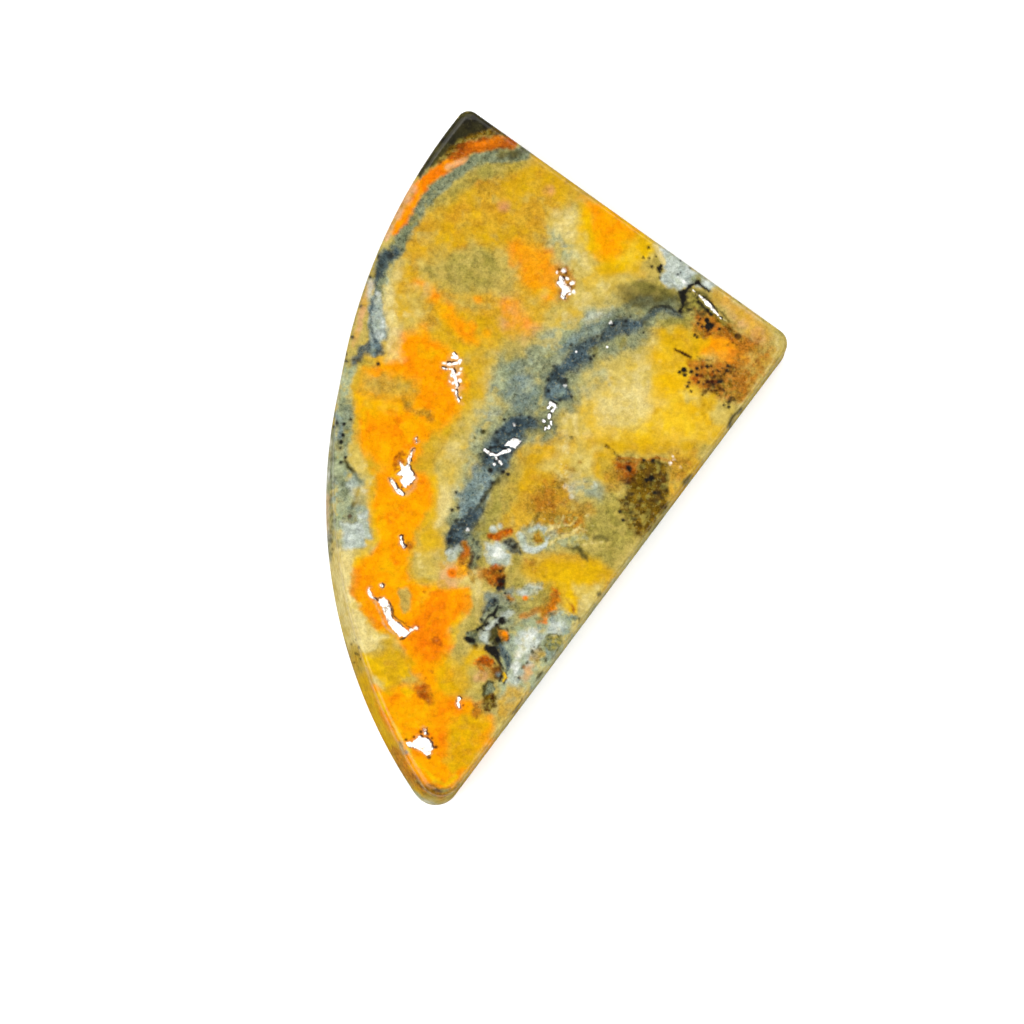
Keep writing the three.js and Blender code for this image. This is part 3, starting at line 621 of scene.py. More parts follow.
SPARKLING_BROWN = (
    patch(MUSTARD, 7, 0.7, 536, 484, 552, 474, 566, 480, 572, 500, 574, 524, 560, 534, 526, 506),
    patch(TAN, 6, 0.5, 534, 496, 550, 490, 562, 500, 556, 516, 538, 512),
    sprinkle(TAN, 2, 0.7, 2, 22, 1.2, 2.6, 526, 490, 552, 472, 570, 486, 576, 524, 552, 530),
    patch(UMBER, 3, 0.7, 552, 520, 560, 520, 560, 536, 554, 534),
    stroke(UMBER, 2, 2, 0.7, 528, 526, 534, 522, 540, 514),
    stroke(CREAM, 2, 2.5, 0.7, 575, 418, 577, 426, 574, 435, 563, 450),
    spots(BRONZE, 1.2, 0.9, 571, 438, 1.9, 484, 431.5, 2.4, 475, 438, 1.8),
    spots(MUSTARD, 2, 0.6, 566, 468, 3, 572, 470, 2.4, 580, 462, 2),
    patch(GOLD, 6, 0.9, 596, 454, 616, 458, 620, 482, 604, 484, 592, 472),
    patch(OLIVE, 5, 0.4, 600, 456, 614, 460, 616, 476, 604, 478),
    stroke(UMBER, 1.3, 1.2, 0.9, 606, 446, 611, 448.5, 617, 455, 622, 459),
    patch(OCHRE, 6, 0.8, 668, 452, 700, 446, 704, 462, 676, 502, 664, 500, 670, 470),
    patch(UMBER, 3, 0.95, 617, 459, 660, 458, 668, 464, 668, 504, 656, 526, 640, 540, 628, 528, 622, 512,
        620, 500, 626, 494, 624, 480, 616, 474),
    patch(RUST, 4, 0.75, 614, 461, 638, 461, 636, 472, 624, 480, 614, 474),
    sprinkle(INK, 1.4, 0.7, 6, 60, 0.9, 2.2, 618, 460, 664, 460, 668, 484, 664, 506, 640, 534, 624, 516,
        626, 490, 618, 474),
    stroke(TAN, 1.4, 1.5, 0.8, 618, 459, 658, 459, 672, 460),
    spots(INK, 1.1, 1, 651.5, 478.5, 3.4, 646.5, 480.5, 2.4, 653, 460.5, 2.4, 643.5, 460, 2.2, 654.5, 493,
        1.9, 620, 511.5, 2.2, 623, 520, 2.2),
    stroke(INK, 2.2, 1.2, 1, 627, 467, 629, 471),
    # Painted glints: small white dots on the brown patch.
    spots(CHALK_AND_GLARE, 1, 0.9, 670.5, 463, 1.2, 672.5, 456, 0.8, 680.5, 467, 0.8, 674, 459, 0.8),
    patch(MUSTARD, 4, 0.7, 576, 502, 592, 503, 592, 512, 580, 514),
    sprinkle(CALCITE, 1.8, 0.6, 13, 16, 1.2, 2.4, 562, 480, 590, 476, 602, 490, 590, 500, 566, 500),
    stroke(BRONZE, 2.4, 1.8, 0.8, 595, 537, 601, 535.5, 607, 539),
    taper(BRONZE, 1.8, 0.8, 557, 544, 1.6, 563, 546.5, 2.2, 571, 548, 2.2, 577, 548.5, 2.2, 582, 553, 2.2,
        587, 562, 1.8),
    spots(MUSTARD, 2.5, 0.7, 532, 563, 4, 534, 570, 2.4, 526, 560, 2),
    patch(STRAW, 5, 0.8, 576, 588, 598, 588, 594, 606, 580, 618, 574, 606),
    patch(YELLOW, 4, 0.9, 562, 596, 576, 598, 578, 616, 566, 610),
    spots(BRONZE, 1.3, 0.85, 573, 618, 1.7, 568, 617, 1.2, 579, 619, 1.6, 599, 594, 2.4, 560, 614, 1.5),
    patch(MUSTARD, 4, 0.75, 670, 454, 690, 456, 684, 478, 672, 480),
    patch(MUSTARD, 4, 0.7, 604, 468, 622, 472, 620, 490, 606, 488),
    sprinkle(CREAM, 0.9, 0.8, 107, 60, 0.7, 1.2, 566, 430, 574, 432, 566, 480, 556, 480),
)
CALCITE_NEST = (
    patch(OLIVE, 6, 0.7, 510, 552, 522, 556, 528, 584, 552, 584, 550, 602, 506, 618),
    patch(MOSS, 5, 0.6, 506, 600, 524, 604, 526, 616, 508, 622),
    patch(CREAM, 4, 0.8, 458, 568, 484, 566, 484, 590, 478, 612, 474, 590, 470, 584, 458, 584),
    patch(OLIVE, 4, 0.7, 476, 548, 488, 552, 488, 566, 480, 568),
    patch(PEACH, 5, 0.7, 440, 562, 458, 566, 456, 586, 440, 586),
    patch(MUSTARD, 2.5, 0.8, 458, 562, 470, 560, 476, 572, 474, 582, 468, 576, 458, 574),
    patch(ORANGE, 4, 0.7, 454, 563, 468, 561, 466, 574, 456, 576),
    spots(EMBER, 2, 1, 452, 573, 5),
    spots(RUST, 1, 1, 452, 573, 1.3),
    patch(CALCITE, 3, 0.8, 446, 553, 458, 546, 460, 552, 452, 562, 446, 562),
    taper(TAN, 2.4, 1, 464, 543, 2.6, 467, 551, 4.6, 463, 561, 3.6),
    taper(RUST, 2, 0.7, 465, 545, 1.4, 467, 552, 3, 463, 558, 1.6),
    patch(MOSS, 2.5, 1, 470, 540, 480, 540, 483, 552, 478, 566, 470, 566, 473, 554),
    sprinkle(INK, 1.2, 0.8, 88, 24, 0.8, 1.8, 470, 540, 481, 540, 483, 552, 476, 567, 469, 566),
    taper(RUST, 1.6, 1, 489, 537, 2.4, 497, 537.5, 3.4, 503, 533, 3.4, 511, 531, 3),
    spots(EMBER, 1.2, 0.8, 494, 538, 1.6, 505, 533, 1.6, 510, 531, 1.2),
    patch(SLATE, 2, 0.8, 500, 540, 512, 536, 522, 546, 520, 556, 510, 552),
    patch(CALCITE, 3, 1, 485, 544, 496, 540, 505, 544, 511, 554, 508, 564, 497, 568, 489, 562),
    spots(CALCITE, 2, 1, 494, 529, 3.4, 500, 526, 2.4),
    patch(CHALK_AND_GLARE, 3, 0.3, 491, 549, 499, 546, 505, 552, 501, 560, 494, 560),
    sprinkle(INK, 1.1, 0.9, 24, 22, 0.8, 1.8, 502, 536, 514, 538, 526, 548, 518, 556, 508, 546),
    patch(MUSTARD, 4, 1, 550, 510, 584, 512, 590, 534, 558, 538),
    patch(SAGE, 3, 0.7, 520, 526, 548, 524, 560, 534, 584, 532, 590, 542, 560, 548, 540, 554, 522, 552),
    stroke(CALCITE, 3.4, 1.8, 1, 521, 534, 523, 542, 527, 549, 534, 551),
    stroke(CALCITE, 2.2, 1.4, 1, 530, 530, 537, 526, 545, 530, 547, 539, 542, 547, 536, 551),
    taper(CREAM, 1.2, 0.9, 547, 532, 1.6, 556, 524, 1, 564, 518, 0.8, 562, 526, 1, 572, 526, 1.2, 578, 518,
        0.8),
    taper(CREAM, 1.2, 0.9, 548, 544, 1.6, 558, 538, 1.8, 570, 536, 1.6, 580, 528, 1.2, 588, 530, 0.8),
    sprinkle(OLIVE, 1.3, 0.9, 22, 44, 0.9, 2, 544, 516, 590, 514, 592, 546, 556, 546, 536, 552),
    sprinkle(CREAM, 1.1, 0.8, 86, 26, 0.7, 1.5, 518, 520, 590, 514, 604, 546, 550, 552, 522, 552),
    patch(MUSTARD, 1.3, 1, 533, 541, 533, 534, 538, 529, 541, 534, 541, 541, 537, 544),
    stroke(OLIVE, 0.8, 0.9, 0.9, 532, 541, 533, 534, 538, 528, 542, 534, 542, 541, 537, 545),
    patch(TAN, 2.4, 1, 485, 569, 492, 566, 504, 566, 504, 578, 498, 584, 490, 583),
    sprinkle(RUST, 1.5, 0.9, 25, 30, 1.2, 2.6, 485, 568, 504, 565, 504, 579, 496, 584, 487, 583),
    sprinkle(MAROON, 1.2, 0.8, 26, 16, 0.8, 1.7, 485, 568, 504, 565, 504, 580, 496, 586, 487, 583),
    patch(MAROON, 1.6, 1, 497, 578, 504, 577, 504, 589, 498, 590),
    spots(INK, 1, 1, 500.5, 571, 1.6, 503, 581, 2.2, 498, 587.5, 2.4, 503, 588, 2.2, 498.5, 581, 1.8),
    patch(MIST, 4, 0.7, 486, 592, 512, 588, 514, 606, 484, 620),
    patch(CALCITE, 3, 0.9, 514, 590, 524, 586, 534, 584, 540, 590, 530, 597, 520, 597),
    sprinkle(MOSS, 1.2, 0.8, 27, 30, 0.8, 1.7, 496, 588, 542, 584, 538, 600, 516, 610, 500, 606),
    patch(TAN, 1.6, 1, 503, 595, 509, 594, 514, 600, 512, 604, 506, 600),
    spots(INK, 1, 1, 505, 593, 1.5, 508, 600, 1.6, 513, 604, 1.1),
    spots(EMBER, 1.3, 1, 525, 598, 2.6),
    patch(SLATE, 2.4, 0.9, 485, 606, 490, 599, 498, 597, 502, 603, 500, 611, 490, 617, 482, 618),
    patch(MOSS, 3, 0.9, 484, 616, 500, 600, 514, 602, 510, 624, 500, 650, 480, 644, 478, 632),
    patch(CALCITE, 2.6, 0.9, 490, 620, 500, 615, 508, 608, 513, 611, 510, 618, 499, 624, 492, 634, 488, 643,
        481, 642, 481, 633),
    stroke(INK, 1.4, 1.2, 1, 499, 606, 495, 613, 489, 616, 483, 627, 477, 630, 470, 632),
    sprinkle(INK, 1.1, 1, 29, 56, 0.8, 2, 480, 612, 496, 596, 510, 602, 502, 612, 486, 630, 478, 632),
    patch(MOSS, 2, 1, 466, 632, 478, 630, 481, 640, 474, 646, 466, 640),
    taper(INK, 1.2, 1, 466, 638, 2.4, 471, 639, 3.4, 474, 641, 2.4),
    spots(INK, 1.1, 1, 475.5, 646.5, 3, 502, 620.5, 4, 497, 625, 2.6, 468, 633, 1.4),
    taper(TAN, 2.4, 1, 556, 590, 2.2, 554, 600, 3.8, 551, 609, 6, 544, 616, 5, 538, 622, 2.6),
    taper(TAN, 2, 0.8, 522, 616, 2.4, 530, 613, 3.4, 540, 610, 3),
    sprinkle(EMBER, 1.6, 0.8, 97, 34, 1, 2.2, 552, 588, 560, 592, 557, 614, 544, 623, 535, 622, 546, 606),
    sprinkle(RUST, 1.2, 0.9, 96, 34, 0.8, 1.8, 552, 588, 560, 592, 557, 614, 544, 623, 535, 622, 546, 606),
    patch(YELLOW, 2, 0.9, 566, 594, 572, 592, 576, 602, 572, 612, 566, 604),
    stroke(TAN, 0.9, 1, 0.9, 567, 598, 572, 606, 573, 612),
    patch(SAGE, 4, 0.8, 512, 628, 534, 621, 548, 626, 566, 609, 572, 620, 548, 662, 520, 694, 506, 686),
    patch(CALCITE, 4, 0.9, 518, 632, 532, 626, 544, 630, 560, 616, 566, 622, 560, 634, 546, 644, 536, 656,
        528, 672, 516, 684, 510, 680, 512, 668, 520, 656, 515, 644),
    patch(CHALK_AND_GLARE, 3, 0.2, 518, 642, 530, 630, 541, 628, 538, 636, 528, 646, 521, 658, 516, 674, 511, 668),
    sprinkle(SAGE, 1.8, 0.6, 30, 26, 1.4, 3, 514, 630, 560, 616, 552, 652, 512, 690),
    stroke(MOSS, 1.4, 1.6, 0.8, 512, 628, 520, 622, 530, 618, 542, 619, 556, 612),
    patch(OLIVE, 1.6, 1, 546, 643, 549, 635, 555, 635, 561, 643, 556, 652, 548, 650),
    sprinkle(MOSS, 1.2, 1, 99, 30, 1, 2, 546, 634, 561, 636, 560, 652, 547, 652),
    stroke(BRONZE, 0.6, 0.9, 0.9, 548, 636, 555, 634, 562, 643, 556, 653, 548, 650),
    patch(MUSTARD, 2.5, 0.6, 532, 650, 541, 648, 544, 656, 538, 662, 530, 660),
    sprinkle(BRONZE, 1.1, 0.8, 31, 18, 0.7, 1.5, 528, 646, 546, 644, 548, 666, 526, 672),
    spots(BRONZE, 1, 0.9, 523.5, 667, 2.2, 527.5, 663, 1.5, 546, 661, 1.8, 539, 674, 1.4, 538, 678, 1.2),
    spots(INK, 1, 1, 519.5, 678, 1.7, 524, 667.5, 1.4),
    patch(PEACH, 2.5, 0.8, 524, 668, 532, 667, 530, 680, 522, 684),
    patch(OCHRE, 5, 0.75, 498, 698, 520, 688, 530, 692, 514, 714, 496, 722),
    patch(BRONZE, 2.2, 1, 490, 630, 498, 624, 504, 626, 502, 634, 504, 644, 496, 646, 490, 639),
    patch(TAN, 1.5, 1, 499, 627, 505, 628, 510, 634, 508, 641, 502, 640),
    spots(EMBER, 1.6, 0.9, 505, 634, 2.6, 507, 638, 1.8),
    stroke(MAROON, 0.8, 0.9, 0.9, 499, 626, 506, 628, 510, 634, 508, 641),
    spots(INK, 1.1, 1, 498, 639.5, 3.2, 493, 643, 1.4),
    patch(GOLD, 4, 0.9, 474, 647, 490, 646, 490, 656, 466, 666, 462, 656),
    taper(INK, 1.3, 1, 488, 648, 3.8, 494, 650, 5.2, 498, 656, 4, 500, 664, 1.4),
    patch(RUST, 1.8, 1, 478, 660, 484, 656, 489, 655, 493, 661, 494, 671, 484, 666, 477, 671, 475, 664),
    sprinkle(EMBER, 1.1, 0.9, 98, 18, 0.8, 1.7, 475, 658, 490, 654, 494, 671, 476, 671),
    spots(MAROON, 1.1, 0.9, 480, 662, 1.8, 488, 664, 1.4, 492, 669, 1.6),
    patch(PEACH, 3, 0.8, 476, 672, 488, 670, 486, 680, 474, 682),
    taper(SLATE, 2, 0.9, 500, 645, 2.4, 505, 652, 3.6, 508, 660, 3.6, 508, 668, 1.6),
    patch(MAROON, 1.6, 0.9, 493, 668, 500, 666, 504, 672, 502, 680, 494, 679),
    spots(MIST, 1.4, 0.8, 498, 674, 2.2),
    spots(INK, 1, 1, 494, 672, 1.7, 502, 676, 1.9, 500, 680, 1.6, 493.5, 689, 1.8, 495, 664, 1.3),
    stroke(YELLOW, 1.2, 1, 1, 504, 672, 507, 677, 503, 681),
    stroke(INK, 0.6, 0.8, 0.9, 498, 658, 502, 666, 507, 670, 508, 677, 504, 683),
    patch(MOSS, 1.8, 1, 482, 686, 487, 680, 493, 682, 494, 690, 489, 696, 482, 695),
    stroke(BRONZE, 1.3, 1.2, 1, 482, 696, 482.5, 686, 487, 681, 493, 682),
    patch(UMBER, 1.8, 1, 484, 696, 492, 693, 498, 699, 497, 707, 490, 712, 484, 711, 481, 704),
    sprinkle(MAROON, 1.4, 0.7, 85, 20, 1, 2.2, 481, 698, 492, 694, 496, 704, 490, 713, 482, 710),
    patch(TAN, 2.4, 0.9, 473, 703, 481, 701, 482, 711, 477, 716, 472, 712),
    taper(MAROON, 2, 0.7, 474, 556, 2.4, 470, 566, 2.4),
    patch(TAN, 3, 0.6, 478, 566, 486, 566, 492, 582, 482, 584),
    patch(TAN, 3, 0.5, 478, 664, 496, 664, 494, 680, 480, 678),
    patch(MUSTARD, 3, 0.7, 542, 600, 552, 596, 548, 612, 540, 616),
)
WALLS = (
    # Along the lower right side: the sage and moss band is partly the wall's own colour and partly painted
    # shade, and the bronze and olive strokes near the edge are painted shade.
    stroke(SAGE, 4, 2.5, 0.8, 746, 416, 602, 603, 492, 753),
    stroke(MOSS, 2.5, 2.5, 0.7, 750, 418, 706, 478, 606, 607, 496, 757),
    stroke(TAN, 3, 2.5, 0.6, 500, 742, 470, 782),
    stroke(BRONZE, 2, 1.8, 0.8, 690, 476, 683, 486),
    stroke(OLIVE, 2, 2, 0.7, 664, 510, 638, 548),
    stroke(BRONZE, 1, 1, 0.8, 520, 700, 514, 712),
    stroke(BRONZE, 1.2, 1.2, 0.8, 541, 672, 536, 680),
    # Lower left wall: gold and orange next to the face turn tan, khaki and sage towards the foot; the
    # darker, greyer foot is painted shade over the wall's own tones.
    stroke(GOLD, 6, 2.5, 0.95, 357, 660, 374, 710, 387, 739, 400, 763, 414, 783, 428, 794),
    stroke(ORANGE, 5, 2, 1, 374, 690, 382, 711, 393, 736, 404, 756, 426, 786),
    stroke(TAN, 3.4, 2.5, 0.6, 372, 716, 385, 744, 398, 766, 412, 784),
    stroke(KHAKI, 2.6, 2, 0.85, 351, 660, 370, 716, 383, 744, 396, 767, 410, 786),
    stroke(SAGE, 2.2, 1.8, 0.9, 346, 655, 366, 717, 379, 746, 392, 769, 406, 788, 420, 799),
    stroke(CHALK_AND_GLARE, 2.5, 2, 0.8, 404, 790, 416, 800, 428, 807),
    stroke(SLATE, 1.2, 1.6, 0.5, 346, 648, 360, 690),
    sprinkle(BRONZE, 1.6, 0.5, 81, 44, 1, 2, 350, 650, 360, 664, 378, 720, 402, 764, 426, 792, 416, 788,
        384, 744, 362, 700),
    # Painted highlight: bright yellow lines along the rounded edge of the lower left side, down to the tip.
    stroke(YELLOW, 1.8, 1.6, 0.9, 377, 694, 402, 739),
    stroke(YELLOW, 1.8, 1.6, 0.9, 408, 749, 421, 767, 434, 781, 446, 786, 456, 776),
    stroke(MUSTARD, 6, 3, 0.95, 428, 788, 441, 798, 454, 791),
    stroke(UMBER, 1.6, 1.4, 0.9, 435, 790, 441, 791.5, 447, 790),
    stroke(CALCITE, 2.6, 2, 0.8, 426, 800, 438, 806, 450, 803),
    stroke(MOSS, 2.5, 2, 0.7, 333, 430, 329, 470, 328, 520, 329, 560),
    sprinkle(BRONZE, 1.3, 0.7, 82, 30, 0.9, 2, 330, 440, 336, 440, 334, 560, 328, 560),
    # Round the bent slot, the cavities near the tip and at the middle of the curved side and the pinhole
    # above the tip: the dark lines and dots are partly their dark edges and partly painted shade, and the
    # peach lines along their lower sides are painted highlight.
    stroke(MAROON, 0.8, 0.9, 0.9, 388, 600, 391.5, 607, 392, 613, 396, 618.5, 402, 621.5, 407, 625, 411,
        627),
    stroke(INK, 0.9, 0.9, 0.9, 400, 639, 405, 637.5, 410, 632),
    stroke(PEACH, 0.9, 1, 0.8, 374, 602, 379, 612, 384, 624, 394, 635),
    spots(MAROON, 1, 0.9, 401, 745, 1.5, 406, 740, 1.4, 414, 737, 1.4, 421, 732, 1.7, 428, 734, 1.6, 432,
        738, 1.3, 436, 747, 1.8, 429, 757, 2, 394, 484, 1.2, 405, 468, 1.2, 402, 475.5, 1.2, 414, 477, 1.4,
        413, 484, 1.2, 402, 487, 1.4, 463, 705, 1, 456, 701, 0.9),
    stroke(MIST, 2, 1.5, 0.7, 401, 744, 402, 752, 407, 752),
    sprinkle(RUST, 1.5, 0.8, 94, 24, 1, 2, 391, 450, 402, 450, 404, 466, 392, 474),
    stroke(PEACH, 1.5, 2, 0.6, 417, 480, 414, 488, 406, 494),
    patch(TAN, 3, 0.8, 555, 268, 566, 267, 574, 280, 573, 292, 566, 300, 557, 300, 560, 288, 556, 280),
    # Painted glints: white grains in the oval cavity below the upper side.
    sprinkle(CHALK_AND_GLARE, 0.9, 0.9, 95, 26, 0.7, 1.5, 556, 270, 566, 270, 574, 282, 574, 292, 564, 300),
    sprinkle(MAROON, 0.9, 0.8, 96, 16, 0.7, 1.3, 558, 268, 570, 272, 576, 284, 572, 294, 568, 300, 566,
        292),
    stroke(INK, 1.1, 1, 0.9, 490, 448, 500, 447, 511, 452),
    taper(BRONZE, 2, 0.8, 448, 144, 2, 440, 152, 4, 432, 164, 2.4),
    # Painted highlight along the rounded edge of the upper left side, as a pale peach line.
    stroke(PEACH, 4, 2.4, 0.8, 396, 217, 414, 190),
    stroke(TAN, 2, 2, 0.8, 410, 772, 420, 784, 432, 794),
    stroke(OCHRE, 5, 4, 0.7, 354, 652, 370, 700, 384, 730, 402, 758),
    stroke(KHAKI, 4, 3, 0.8, 428, 797, 443, 804, 456, 795),
    stroke(OLIVE, 3, 4, 0.5, 354, 648, 360, 668),
    stroke(GOLD, 5, 4, 0.8, 362, 684, 372, 706, 382, 728, 392, 746),
    stroke(TAN, 5, 4, 0.8, 394, 750, 408, 772, 422, 790),
    stroke(UMBER, 1.8, 1.8, 0.8, 416, 782, 430, 792, 444, 791),
    sprinkle(INK, 1, 0.8, 106, 26, 0.8, 1.6, 348, 636, 360, 640, 364, 664, 354, 664),
    # Painted sheen: a faint white stroke along the left wall.
    stroke(CHALK_AND_GLARE, 4, 4, 0.35, 326, 440, 323, 480, 323, 530, 326, 580, 332, 620),
    stroke(PEACH, 3, 3, 0.5, 326, 496, 325, 530),
)

MARKINGS = (
    *BROAD_FIELDS, *UPPER_FACE, *DARK_POINT, *ORANGE_FIELD, *LEFT_RIM, *DARK_VEIN, *SQUARE_CORNER,
    *SPARKLING_BROWN, *CALCITE_NEST, *WALLS,
)


@dataclass(frozen=True)
class Veil:
    """Clouds of one tone within another, `cell` pixels apart, with finer clouds on their edges."""

    under: Tone
    over: Tone
    cell: float
    strength: float = 0.6
    gain: float = 1.6
    fine_cell: float = 0.42
    fine_share: float = 0.6

    def spread(
        self, shares: dict[Tone, np.ndarray], seed: int, across: np.ndarray, down: np.ndarray
    ) -> None:
        """Turns some of the one tone's share into the other's.

        Args:
            shares: The shares of the tones, changed in place.
            seed: The start of the noise.
            across: Pixels across.
            down: Pixels down.
        """
        cloud = Wander(self.cell, seed).at(across, down)
        cloud = cloud + self.fine_share * Wander(self.fine_cell * self.cell, seed + 1).at(across, down)
        moved = self.strength * ease(np.clip(self.gain * cloud, 0.0, 1.0)) * shares[self.under]
        shares[self.under] -= moved
        shares[self.over] += moved


VEILS = (
    Veil(OCHRE, GOLD, 15), Veil(OCHRE, KHAKI, 9, 0.45), Veil(GOLD, OCHRE, 8, 0.5),
    Veil(GOLD, YELLOW, 13, 0.4), Veil(STRAW, CREAM, 10), Veil(STRAW, KHAKI, 7, 0.4),
    Veil(STRAW, YELLOW, 14, 0.45), Veil(YELLOW, GOLD, 9), Veil(YELLOW, STRAW, 12, 0.2),
    Veil(ORANGE, YELLOW, 12, 0.35), Veil(ORANGE, EMBER, 17, 0.5), Veil(EMBER, ORANGE, 8),
    Veil(SAGE, STRAW, 8), Veil(SAGE, MIST, 12, 0.5), Veil(MOSS, SAGE, 7, 0.35), Veil(MOSS, OLIVE, 11, 0.5),
    Veil(MIST, SAGE, 8, 0.3), Veil(KHAKI, OLIVE, 10, 0.45), Veil(KHAKI, STRAW, 6),
    Veil(SLATE, MIST, 5, 0.25), Veil(SLATE, INK, 5, 0.5), Veil(CALCITE, SAGE, 6, 0.35),
    Veil(CALCITE, MIST, 8, 0.2), Veil(UMBER, OLIVE, 5), Veil(UMBER, MAROON, 5), Veil(TAN, MUSTARD, 7),
    Veil(PEACH, OCHRE, 8), Veil(CREAM, STRAW, 7), Veil(OLIVE, KHAKI, 7), Veil(MUSTARD, TAN, 6),
    Veil(RUST, TAN, 4),
)


@dataclass
class StonePattern:
    """The shares of the tones over the stone: later markings cover earlier ones, veils marble them all.

    Each marking is looked up through sways, each a cell and a reach in pixels. Edges softer than
    `broad_from` pixels are frayed by broad clouds, and the others by fine ones.
    """

    markings: tuple[Marking, ...] = MARKINGS
    veils: tuple[Veil, ...] = VEILS
    sways: tuple[tuple[float, float], ...] = ((18.0, 1.6), (7.0, 1.3), (3.0, 0.8))
    sway_seed: int = 11
    sway_gain: float = 1.4
    ground: Tone = Tone.KHAKI
    broad_cells: tuple[float, ...] = (16.0, 7.0)
    broad_seeds: tuple[int, ...] = (101, 111, 121)
    broad_from: float = 3.5
    fine_cells: tuple[float, ...] = (6.0, 3.2)
    fine_seeds: tuple[int, ...] = (131, 141, 151)
    cloud_fall: float = 0.75
    cloud_gain: float = 0.9
    veil_seed: int = 201

    def shares(self, across: np.ndarray, down: np.ndarray) -> dict[Tone, np.ndarray]:
        """The share of each tone at each place; the shares of a place add up to 1.

        Args:
            across: Pixels across.
            down: Pixels down.

        Returns:
            One array for each tone.
        """
        broad = [self._cloud(self.broad_cells, seed, across, down) for seed in self.broad_seeds]
        fine = [self._cloud(self.fine_cells, seed, across, down) for seed in self.fine_seeds]
        sway = {form: self._swayed(form, across, down) for form in Form}
        shares = {tone: np.zeros(across.shape) for tone in Tone}
        shares[self.ground][:] = 1.0
        for order, marking in enumerate(self.markings):
            u, v = sway[marking.form]
            left, right, top, bottom = marking.span()
            near = (u > left) & (u < right) & (v > top) & (v < bottom)
            if near.any():
                clouds = broad if marking.soft > self.broad_from else fine
                fray = clouds[order % len(clouds)][near]
                cover = marking.cover(u[near], v[near], fray)
                for share in shares.values():
                    share[near] *= 1.0 - cover
                shares[marking.tone][near] += cover
        for order, veil in enumerate(self.veils):
            veil.spread(shares, self.veil_seed + 2 * order, across, down)
        return shares

    def _swayed(self, form: Form, across: np.ndarray, down: np.ndarray) -> tuple[np.ndarray, np.ndarray]:
        """Where each place is looked up for one form of marking: small marks are bent less than broad ones.

        Args:
            form: The form.
            across: Pixels across.
            down: Pixels down.

        Returns:
            Pixels across and down.
        """
        bend = min(1.0, self.sway_gain * form.value)
        for order, (cell, reach) in enumerate(self.sways):
            seed = self.sway_seed + 2 * order
            across = across + bend * reach * Wander(cell, seed).at(across, down)
            down = down + bend * reach * Wander(cell, seed + 1).at(across, down)
        return across, down

    def _cloud(
        self, cells: tuple[float, ...], seed: int, across: np.ndarray, down: np.ndarray
    ) -> np.ndarray:
        """Noise of several sizes added up, from about -1 to 1.

        Args:
            cells: The size of each noise, in pixels.
            seed: The start of the first noise.
            across: Pixels across.
            down: Pixels down.

        Returns:
            One value for each place.
        """
        layers = []
        for order, cell in enumerate(cells):
            layers.append(self.cloud_fall**order * Wander(cell, seed + order).at(across, down))
        return np.sum(layers, axis=0) * self.cloud_gain


# Shape of the stone

LEAST_ROUND = 0.2


def facing(degrees: float) -> np.ndarray:
    """The unit vector at an angle from +X."""
    return np.array((math.cos(math.radians(degrees)), math.sin(math.radians(degrees))))


def straight(start: np.ndarray, end: np.ndarray, steps: int) -> np.ndarray:
    """Points from start up to, and without, end."""
    return start + (end - start) * (np.arange(steps) / steps)[:, None]


def arc(centre: np.ndarray, radius: float, start: float, end: float, steps: int) -> np.ndarray:
    """Points on an arc from one angle up to, and without, another."""
    angles = start + (end - start) * np.arange(steps) / steps
    return centre + radius * np.stack([np.cos(angles), np.sin(angles)], axis=1)


def smooth_step(value: np.ndarray, low: float, high: float) -> np.ndarray:
    """0 below low, 1 above high, and a smooth rise between them."""
    return ease(np.clip((value - low) / (high - low), 0.0, 1.0))


@dataclass(frozen=True)
class RingSteps:
    """How finely a ring around the stone is divided."""

    arc: int = 340
    straight: int = 190
    round: int = 14


